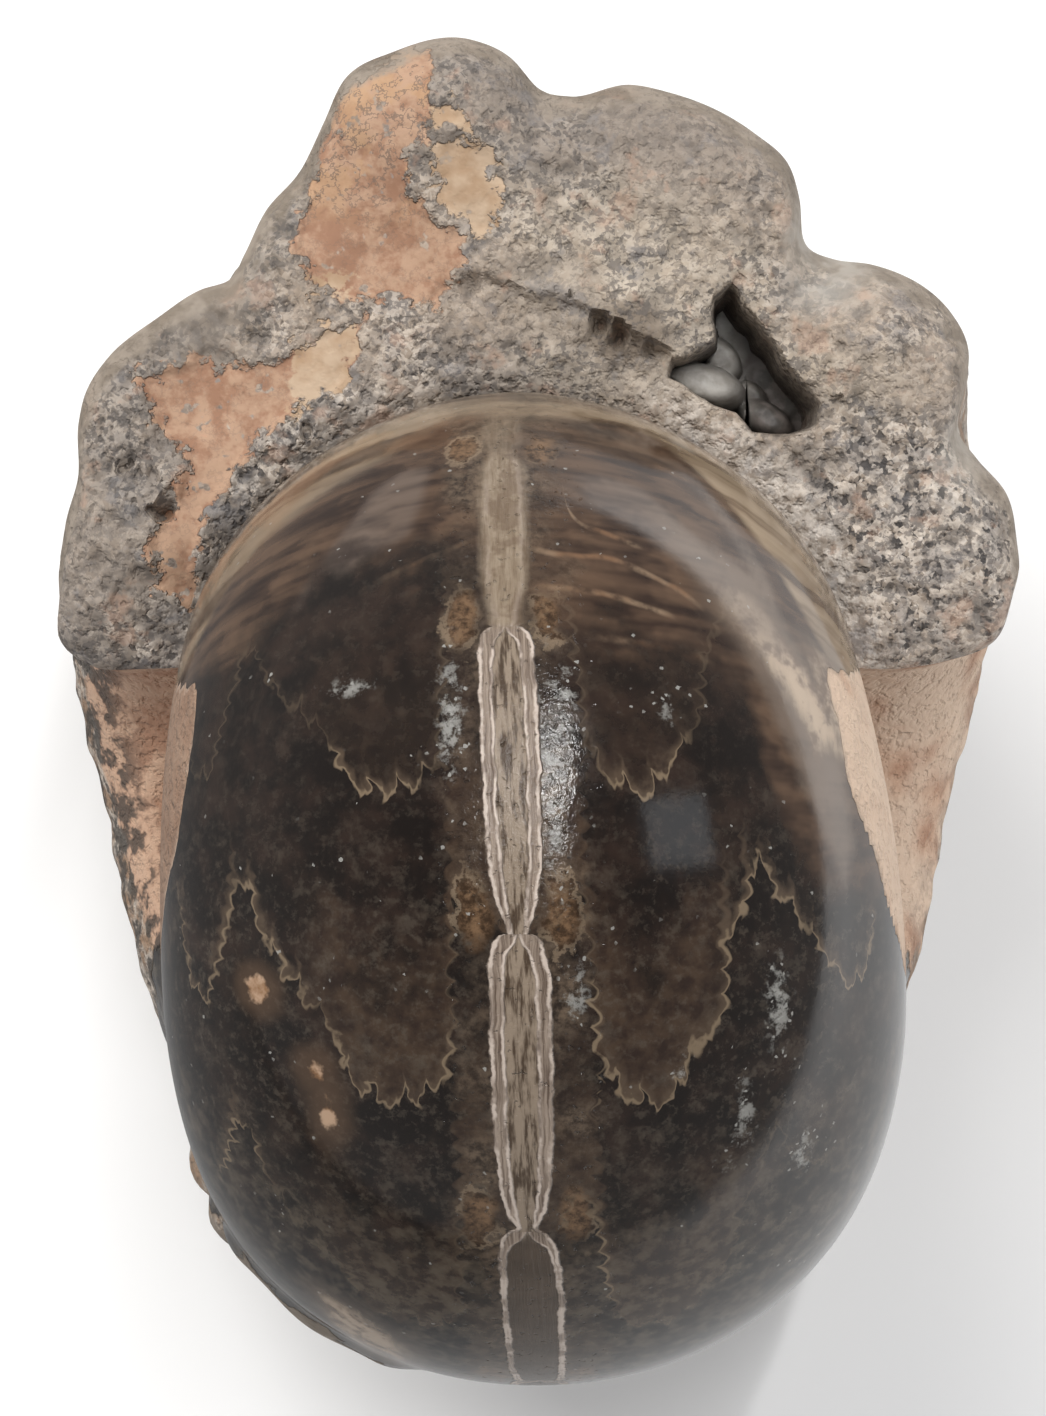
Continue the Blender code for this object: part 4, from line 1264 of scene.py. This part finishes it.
def make_siphuncle():
    """Masks of the tube, its core, its pale lips and its fibres; `height` is its relief."""
    tree, place, chamber, across = start_group("siphuncle", place=None, chamber=0.0, across=0.0)
    wobble, frill = noise(place, 2.6) - 0.5, noise(place, 0.7, 3.0) - 0.5
    off = abs(across + wobble * 0.55)
    band = smooth(chamber, OPENED_AT + 0.02, OPENED_AT - 0.02)
    last = smooth(chamber, LAST_FROM - 0.02, LAST_FROM + 0.02)
    opened = 1.0 - band
    share = combine("FRACT", chamber + 10.0) * (1.0 - last * 0.14)  # the last length has no neck
    pinch = smooth(abs(chamber - 1.0), 0.14, 0.0) * 0.8 + smooth(chamber, 1.7, OPENED_AT) * 0.7
    half = curve(share, TUBE_HALF_WIDTH) * TUBE_WIDEST * opened + band * (BAND_HALF_WIDTH - pinch)
    past = off + frill * 0.45 - half
    past_core = off + frill * 0.3 - curve(share, CORE_HALF_WIDTH) * TUBE_WIDEST * (1.0 + last * 0.5)
    tube = smooth(past, 0.06, -0.12) * opened + smooth(past, 0.35, -0.95) * band
    fades = smooth(chamber + wobble * 0.4, 0.45, 0.75) * 0.45
    fades = fades + smooth(chamber + wobble * 0.2, 0.97, 1.06) * 0.55
    tube, core = tube * fades, smooth(past_core, 0.05, -0.1) * opened
    fibre = streaks(across * 3.6 + wobble * 2.0, chamber * 3.4, 4.0, 0.68)
    outer = smooth(abs(past + 0.22 + wobble * 0.3), 0.26, 0.06)
    inner = smooth(abs(past_core - 0.1), 0.22, 0.04)
    lips = (outer + inner) * opened + smooth(abs(past + 0.75), 0.5, 0.0) * band * 0.2
    height = tube * (0.6 + fibre * 0.8) - core * 0.7 + lips * 0.5
    return finish_group(tree, tube=tube, core=core, fibre=fibre, lips=lips * tube, height=height)


SIPHUNCLE = make_siphuncle()

# %% [markdown]
# ## The polished whorl and the old shell
#
# Where it is polished, the chambers are filled with dark, slightly clear calcite: near black just past each
# suture and warm brown before the next one, with a beige haze near the broken face, growth lines and white
# specks. Hazy veils along the flanks carry painted sheen, and some flecks beside the siphuncle are painted
# glints. A see-through shader could give it real depth, but its colours couldn't be baked, so the depth is
# painted. Where it was never polished there is old grey-brown shell, crusted with sandstone on the flanks and
# salmon in the umbilici, with painted shade on the rock over the left flank.

# %% The dark chambers
NEAR_BLACK, DARK_BROWN, APRON_BROWN = (0.010, 0.0075, 0.0065), (0.024, 0.0150, 0.0115), (0.050, 0.032, 0.021)
CLOUDS, FINE_CLOUDS, LOW_CLOUDS = (0.068, 0.054, 0.041), (0.085, 0.070, 0.054), (0.095, 0.076, 0.054)


def lower_colours(place, across, chamber, suture):
    """Dark calcite, browner in the apron before each suture, and cloudy lower down."""
    blotch, mottle = noise(place, 5.0, 4.0, 0.6), noise(place, 1.7, 3.0, 0.6)
    dark = tones(blotch, 0.40, 0.70, (NEAR_BLACK, DARK_BROWN))
    apron = smooth(suture["phase"] + (blotch - 0.5) * 0.5, 0.42, 0.75) * smooth(abs(across), 20.0, 14.0)
    apron = apron * (0.25 + 0.75 * smooth(suture["turned"], 2.0, 2.4))
    cloudy = smooth(noise(place, 2.2, 5.0, 0.72) + (blotch - 0.5) * 0.4, 0.50, 0.74)
    grainy = smooth(noise(place, 0.75, 3.0, 0.7) + (mottle - 0.5) * 0.5, 0.50, 0.72)
    lowest = smooth(chamber + (blotch - 0.5) * 1.2, 3.7, 4.5) * smooth(mottle, 0.42, 0.66)
    return paint(
        dark,
        (smooth(mottle, 0.52, 0.75) * 0.6, DARK_BROWN),
        (apron, tones(mottle, 0.3, 0.66, (DARK_BROWN, APRON_BROWN))),
        (cloudy * (0.10 + 0.42 * smooth(chamber, 2.2, 3.0)), CLOUDS),
        (grainy * (0.12 + 0.24 * smooth(chamber, 2.4, 3.2)), FINE_CLOUDS),
        (lowest * 0.6, LOW_CLOUDS),
    )


# %% The chambers near the broken face
STREAKED = ((0.023, 0.0135, 0.010), (0.090, 0.055, 0.035))
VEIL_AND_SHEEN = (0.135, 0.110, 0.095)
BEIGE = ((0.15, 0.105, 0.068), (0.275, 0.212, 0.148))
BEIGE_ENDS = ((-30, 34), (-26, 30), (-10, 21), (-4, 16), (4, 17), (12, 14), (17, 17), (24, 28), (30, 40))
GROWTH_TONES = ((0.25, 0.175, 0.115), (0.19, 0.105, 0.058))
GROWTH_LINES = (  # (across, mm down the coil)
    ((2.4, 42.1), (5.2, 43.0), (10.2, 43.0), (14.0, 44.6), (18.0, 47.0)),
    ((5.6, 33.5), (6.8, 37.8), (9.0, 39.2), (12.7, 40.2)),
    ((2.4, 47.3), (8.0, 47.6), (15.1, 49.2)),
    ((4.0, 52.4), (11.0, 53.0), (18.5, 54.0)),
    ((-19.2, 50.1), (-13.2, 45.4), (-7.5, 43.0), (-2.6, 40.7)),
    ((-14.0, 50.5), (-8.0, 47.0), (-3.0, 46.5)),
)
LINES_SPAN = 60.0


def at_across(across, points):
    """A curve of (across, mm) points, each way scaled by LINES_SPAN to fit a curve node."""
    scaled = [(x / LINES_SPAN + 0.5, y / LINES_SPAN) for x, y in points]
    return curve(across / LINES_SPAN + 0.5, scaled) * LINES_SPAN


def upper_colours(place, down, across, under, veil):
    """Browns streaked along the broken edge, beige next to it, hazy veils with painted sheen, and growth
    lines.
    """
    wander, wisp = noise(place, 7.0, 3.0, 0.6) - 0.5, noise(place, 2.0, 3.0, 0.6)
    streak = streaks(under * 0.22 + wander * 1.2, across * 0.03, 3.0, 0.5)
    fine = streaks(across * 0.14 + wander * 2.0, down * 0.42, 2.0, 0.5)
    beige = smooth(down - at_across(across, BEIGE_ENDS) + wander * 5.0, 1.5, -2.5)
    beige = beige * (0.35 + 0.65 * smooth(streak, 0.36, 0.52)) * (0.60 + 0.40 * smooth(across, -16.0, -2.0))
    colour = paint(
        tones(fine + wander * 0.7, 0.26, 0.74, STREAKED),
        # hazy veil, partly painted sheen
        (smooth(veil + wander * 2.0, -0.4, 1.4) * (0.05 + fine * 0.65), VEIL_AND_SHEEN),
        (beige, tones(streak, 0.40, 0.64, BEIGE)),
    )
    growth = tones(wander, -0.05, 0.1, GROWTH_TONES)
    for points in GROWTH_LINES:
        start, end = points[0][0], points[-1][0]
        gap = abs(down - at_across(across, points) + wander * 1.6)
        ends = smooth(across, start - 0.5, start + 0.8) * smooth(across, end + 0.5, end - 1.5)
        colour = mix(smooth(gap, 0.62, 0.06) * ends * smooth(wisp, 0.30, 0.60) * 0.62, colour, growth)
    return colour


# %% Beside the siphuncle
PITTED, BLOB = ((0.022, 0.016, 0.012), (0.115, 0.083, 0.058)), (0.23, 0.18, 0.135)
AMBER, AMBER_RIM = ((0.035, 0.020, 0.011), (0.16, 0.095, 0.052)), (0.25, 0.185, 0.125)


def beside_siphuncle(place, colour, side, share):
    """Pitted brown calcite with pale blobs next to the siphuncle, and an amber pod at each neck."""
    mottle, blob, broad = noise(place, 1.1, 4.0, 0.7), noise(place, 2.6), noise(place, 8.0)
    band = smooth(side + (blob - 0.5) * 9.0, 6.6, 2.6) * (0.25 + 0.65 * smooth(broad, 0.42, 0.60))
    from_neck = (combine("FRACT", share + 0.5) - 0.44) * CHAMBER_MM
    gap = hypotenuse((side - 3.7) / 1.5, from_neck / 3.0) + (mottle + blob - 1.0) * 1.6
    return paint(
        colour,
        (band, paint(tones(mottle, 0.34, 0.68, PITTED), (smooth(blob, 0.61, 0.70) * 0.6, BLOB))),
        (smooth(gap, 1.15, 0.60) * 0.85, tones(mottle, 0.35, 0.65, AMBER)),
        (smooth(abs(gap - 1.05), 0.20, 0.04) * smooth(broad, 0.40, 0.55) * 0.45, AMBER_RIM),
    )


# %% Marks on the polished stone
PALE = ((0.16, 0.112, 0.080), (0.34, 0.262, 0.19))
PALE_HAZE, ORANGE_HAZE = (0.115, 0.085, 0.064), (0.085, 0.052, 0.032)
ORANGE = ((0.22, 0.115, 0.055), (0.40, 0.27, 0.18))
# white of the flecks and of the painted glints
FLECK_AND_GLINT = (0.30, 0.295, 0.275)


def marked(place, colour, across, down, wisp, blotch, marks):
    """Pale patches and orange spots, each with a haze round it, then white flecks and, beside the siphuncle,
    painted glints. Gives the colour and where the flecks and glints are."""
    pale, orange, smudge = marks
    ragged = (wisp - 0.5) * 3.0
    fibre = streaks(across * 0.9 + wisp * 2.0, down * 0.12, 4.0, 0.6) - 0.5
    into_pale = smooth(pale + fibre * 2.6 + ragged * 0.2, -1.0, 1.8)
    into_pale = into_pale * (0.35 + 0.65 * smooth(down + ragged * 2.0, 47.0, 54.0))
    into_pale = into_pale * (0.6 + 0.4 * smooth(wisp, 0.35, 0.5))
    near = smooth(smudge, -1.4, 0.8)
    specks = smooth(cells(place, 0.26)[1] + near * 0.02, 0.994, 0.998)
    specks = specks * smooth(blotch + near * 0.5, 0.50, 0.60)
    smudges_and_glints = smooth(noise(place, 1.3, 4.0, 0.75) + near * 0.20, 0.62, 0.78) * near
    fleck_and_glint = combine("MAXIMUM", specks * 0.7, smudges_and_glints * 0.7)
    colour = paint(
        colour,
        (smooth(pale + ragged * 0.5, -3.6, 0.4) * 0.55, PALE_HAZE),
        (into_pale, tones(blotch + (wisp - 0.5) * 0.5, 0.40, 0.60, PALE)),
        (smooth(orange + ragged * 0.5, -2.4, -0.2) * 0.6, ORANGE_HAZE),
        (smooth(orange + ragged * 0.9, -0.1, 0.4) * 0.9, tones(wisp, 0.4, 0.6, ORANGE)),
        # white flecks, and painted glints beside the siphuncle
        (fleck_and_glint, FLECK_AND_GLINT),
    )
    return colour, fleck_and_glint


# %% Inside the siphuncle
TUBE_WALL = ((0.085, 0.058, 0.043), (0.28, 0.222, 0.176))
TUBE_CORE = ((0.060, 0.040, 0.026), (0.225, 0.175, 0.130))
LAST_CORE = ((0.03, 0.022, 0.016), (0.11, 0.08, 0.058))
BAND, BAND_SPOTS = ((0.148, 0.107, 0.071), (0.240, 0.188, 0.136)), (0.105, 0.068, 0.043)
LIP = (0.46, 0.385, 0.33)


def inside_tube(tube, across, chamber, wisp, blotch):
    """Fibrous walls, a streaky core, the soft band before it is opened, and pale lips."""
    slots = streaks(across * 1.5, chamber * 8.0)
    core = tones(slots + (tube["fibre"] - 0.5) * 0.5, 0.36, 0.58, TUBE_CORE)
    core = mix(smooth(chamber, 3.98, 4.06), core, mix(wisp, *LAST_CORE))
    band = tones(slots * 0.5 + tube["fibre"] * 0.5, 0.36, 0.62, BAND)
    spotted = smooth(blotch + (wisp - 0.5) * 0.6, 0.50, 0.62) * 0.55
    broken = 0.15 + 0.85 * smooth(blotch + (wisp - 0.5) * 0.8, 0.36, 0.60)
    return paint(
        tones(tube["fibre"], 0.32, 0.68, TUBE_WALL),
        (tube["core"], core),
        (smooth(chamber, 2.02, 1.98) * (1.0 - tube["lips"] * 0.3), mix(spotted, band, BAND_SPOTS)),
        (tube["lips"] * broken, LIP),
    )


# %% The old shell and the flanks
SHELL_SPECK, FLANK_SPOT = (0.075, 0.066, 0.058), (0.06, 0.052, 0.045)
CRUST = (0.26, 0.17, 0.11)
FLANK_SALMON, FLANK_PALE = ((0.34, 0.19, 0.12), (0.47, 0.31, 0.215)), (0.56, 0.435, 0.335)
SHADED_EDGE_ROCK = ((0.16, 0.095, 0.062), (0.27, 0.18, 0.125))


def old_colours(tree, place, stone, wisp):
    """Crusted flanks, old shell on the venter and salmon stone in the umbilici, which shows more on the
    right, with painted shade on the rock over the left flank. Also where the crust is."""
    around, notch, rock = numbers(tree, "around", "notch", "rock")
    on_right = smooth(parts(place)[0], -1.0, 1.0)
    on_left = 1.0 - on_right
    grain = noise(place, 0.9, 3.0, 0.65)
    shell = tones(noise(place, 6.0, 4.0, 0.6) + (grain - 0.5) * 0.5, 0.30, 0.70, OLD_SHELL)
    crusty = smooth(around + (wisp - 0.5) * 0.25, 0.30, 0.38)
    salmon = paint(
        tones(wisp, 0.35, 0.65, FLANK_SALMON),
        (on_right * 0.8 * smooth(noise(place, 9.0), 0.30, 0.52), FLANK_PALE),
        # painted shade: the rock over the left flank is darkened
        (rock * on_left * 0.85, mix(wisp, *SHADED_EDGE_ROCK)),
    )
    past = around - 0.62 + on_right * 0.11
    inlet = smooth(past + (wisp - 0.5) * 0.20, -0.015, 0.02)
    spots = smooth(noise(place, 3.0, 3.0, 0.7), 0.56, 0.46) * smooth(past + on_right * 0.10, 0.26, 0.10)
    spots = spots * (1.0 - rock) * smooth(past, -0.2, -0.1) * (1.0 - on_right * 0.7)
    old = paint(
        shell,
        (smooth(grain, 0.42, 0.34) * 0.45, SHELL_SPECK),
        (crusty, mix(smooth(noise(place, 4.0, 3.0, 0.6), 0.42, 0.56), CRUST, stone["colour"])),
        (combine("MAXIMUM", inlet, rock), salmon),
        (spots * 0.85, FLANK_SPOT),
        (notch * 0.7, NOTCH),
    )
    return old, crusty


# %% The shell's finish
# painted sheen over a hazy veil on the right flank
RIGHT_VEIL_AND_SHEEN = (0.17, 0.132, 0.102)
SUTURE_HALO, SUTURE_LINE = (0.080, 0.056, 0.038), (0.165, 0.122, 0.080)
POLISHED, UNPOLISHED = 0.12, 0.72  # roughness


def make_shell():
    """The whole coil's finish: polished chambers where `polish` is 1, and old shell where it is 0."""
    made, tree, shader = start_material("shell")
    place = place_in_mm(tree)
    chamber, across, under_face, veil, shown, polish, *marks = numbers(
        tree, "chamber", "across", "under_face", "veil", "shown", "polish", "pale", "orange", "smudge"
    )
    side, down = abs(across), chamber * CHAMBER_MM
    suture = use_group(tree, SUTURE, place=place, chamber=chamber, across=across)
    tube = use_group(tree, SIPHUNCLE, place=place, chamber=chamber, across=across)
    stone = use_group(tree, SANDSTONE, place=place, contrast=0.7, warmth=0.4)
    wisp, blotch = noise(place, 3.0, 4.0, 0.65), noise(place, 6.0, 4.0, 0.6)
    # the chambers
    on_right = smooth(across, -4.0, 4.0)
    fades = on_right * 0.40 + 1.58 + smooth(side, 20.0, 26.0) * (0.25 + 0.6 * on_right)
    # a hazy veil on the right flank, partly painted sheen
    right_haze_and_sheen = smooth(veil + (wisp - 0.5) * 3.0, -0.8, 1.6) * smooth(across, 12.0, 18.0)
    calcite = paint(
        lower_colours(place, across, chamber, suture),
        (
            smooth(chamber + (blotch - 0.5) * 0.9 - fades, 0.20, -0.16),
            upper_colours(place, down, across, under_face, veil),
        ),
        (right_haze_and_sheen * (0.15 + 0.45 * wisp), RIGHT_VEIL_AND_SHEEN),
    )
    calcite = beside_siphuncle(place, calcite, side, combine("FRACT", chamber + 10.0))
    # the sutures, the marks and the siphuncle
    drawn = smooth(suture["turned"], 1.55, 1.75) * smooth(side, 2.0, 3.0)
    drawn = drawn * (0.16 + smooth(shown + (wisp - 0.5) * 5.0, -1.6, 1.6) * 0.74)
    colour = paint(
        calcite,
        (suture["halo"] * drawn * smooth(wisp, 0.30, 0.60) * 0.9, SUTURE_HALO),
        (suture["line"] * drawn * smooth(wisp, 0.24, 0.46), SUTURE_LINE),
    )
    colour, fleck_and_glint = marked(place, colour, across, down, wisp, blotch, marks)
    colour = mix(tube["tube"], colour, inside_tube(tube, across, chamber, wisp, blotch))
    # the part that was never polished, and how rough and how uneven each part is
    old, crusty = old_colours(tree, place, stone, wisp)
    polish = smooth(polish + (blotch - 0.5) * 0.9, 0.46, 0.54)
    scratched = smooth(streaks(across * 1.5, chamber * 90.0), 0.5, 0.8)
    rough_band = smooth(side + (wisp - 0.5) * 6.0, 7.0, 3.5) * smooth(chamber, 4.4, 3.2)
    roughness = POLISHED + scratched * 0.08 + tube["tube"] * 0.10 + rough_band * 0.01 + fleck_and_glint * 0.2
    pits = smooth(noise(place, 0.7, 2.0, 0.6), 0.36, 0.26) * smooth(side, 8.0, 4.0)
    glitter = (noise(place, 0.34, 2.0, 0.7) + cells(place, 0.8)[1] * 0.6) * rough_band
    height = (tube["height"] * 0.30 - pits * 0.5 + wisp * 0.05 + glitter * 0.15) * polish
    height = height + (1.0 - polish) * (stone["height"] * (0.3 + 0.7 * crusty) + wisp)
    roughness = roughness * polish + (1.0 - polish) * UNPOLISHED
    colour = mix(polish, old, colour)
    fill(shader, {"Base Color": colour, "Roughness": roughness, "IOR": 1.5, "Normal": bump(height, 0.35)})
    return made


fossil.data.materials.append(make_shell())
fossil.data.materials.append(BROKEN_STONE)
print("finishes of the fossil:", ", ".join(finish.name for finish in fossil.data.materials))

# %% [markdown]
# ## Calcite in the hollow
#
# Calcite has grown in the hollow: a crust on its floor, and smooth rounded lumps on the crust. Spheres pushed
# together could make it, but would leave walls inside. So we sweep a ray round the hollow's outline, stop
# each one short of the wall, and lift the points to the highest lump.

# %% The crystals' mesh
CRYSTAL_LUMPS = (  # x and h from the hollow's middle, half length, half width, turn in degrees, top
    (-4.2, -1.6, 4.4, 2.3, -14.0, -0.5),
    (-2.4, 1.2, 2.6, 1.7, -50.0, -4.4),
    (1.8, -4.7, 3.1, 1.8, -32.0, -3.4),
    (0.6, -2.4, 1.9, 1.3, -45.0, -5.4),
)
CRYSTAL_GAP = 0.35
CRYSTAL_BOTTOM, CRYSTAL_FLOOR = -8.7, -8.0
CRYSTAL_RAYS, CRYSTAL_RINGS = 144, 40


def crystal_height(x, h):
    """The highest of the floor and the lumps: bottom + (top - bottom) * sqrt(1 - r ** 4), where r grows
    from 0 at a lump's middle to 1 at its edge."""
    place = np.stack((x, h, np.zeros_like(x)), -1)
    height = CRYSTAL_FLOOR + 0.3 * layered_noise(place, 2.0, 2, 91.0)
    for at_x, at_h, half_length, half_width, turn, top in CRYSTAL_LUMPS:
        c, s = math.cos(math.radians(turn)), math.sin(math.radians(turn))
        along, across = (x - at_x) * c + (h - at_h) * s, (h - at_h) * c - (x - at_x) * s
        r = np.hypot(along / half_length, across / half_width)
        lump = CRYSTAL_BOTTOM + (top - CRYSTAL_BOTTOM) * np.sqrt(np.maximum(1.0 - r**4, 0.0))
        height = np.maximum(height, lump)
    return height + 0.10 * layered_noise(place, 1.4, 2, 95.0)


def crystal_patch():
    """Rings from a bottom point out to the wall, up it, and back in over the lumps to a top point."""
    angles = np.linspace(0.0, 2.0 * np.pi, CRYSTAL_RAYS + 1)
    reach = np.linspace(0.0, 10.0, 401)
    ray_x, ray_h = np.outer(reach, np.cos(angles)), np.outer(reach, np.sin(angles))
    clear = into_outline(HOLLOW_RIM, ray_x, ray_h) > CRYSTAL_GAP
    rim = reach[np.argmin(clear, axis=0) - 1]
    shares = np.linspace(1.0, 0.0, CRYSTAL_RINGS + 1)[:, None]
    x, h = shares * rim * np.cos(angles), shares * rim * np.sin(angles)
    height = np.vstack((np.full((2, len(angles)), CRYSTAL_BOTTOM), crystal_height(x, h)))
    x, h = np.vstack((x[-1:], x[:1], x)), np.vstack((h[-1:], h[:1], h))
    return on_face((x + HOLLOW_AT[0]) * MM, (h + HOLLOW_AT[1]) * MM, height * MM)


crystal_points, crystal_grid = weld(crystal_patch())
crystals = add_mesh("crystals", crystal_points, without_repeats(quads(crystal_grid)))
turn_outwards(crystals.data)
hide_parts("calcite_crystals")
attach(crystals, "root")
print("crystals:", len(crystals.data.polygons), "faces")

# %% The crystals' finish
CALCITE = ((0.25, 0.23, 0.205), (0.38, 0.36, 0.33))
CALCITE_SHADE = ((0.020, 0.016, 0.014), (0.070, 0.054, 0.048))


def make_calcite():
    """Grey, slightly clear calcite, with painted shade on the right of the hollow."""
    made, tree, shader = start_material("calcite")
    place = place_in_mm(tree)
    cloud = noise(place, 1.8, 3.0, 0.55)
    # painted shade over the crystals on the hollow's right
    right = smooth(parts(place)[0] + (cloud - 0.5) * 3.0, HOLLOW_AT[0] - 1.6, HOLLOW_AT[0] + 0.6)
    colour = paint(tones(cloud, 0.35, 0.65, CALCITE), (right * 0.85, tones(cloud, 0.4, 0.6, CALCITE_SHADE)))
    fill(shader, {"Base Color": colour, "Roughness": 0.5, "Normal": bump(noise(place, 0.8), 0.08)})
    return made


crystals.data.materials.append(make_calcite())
print("finish of the crystals:", crystals.data.materials[0].name)
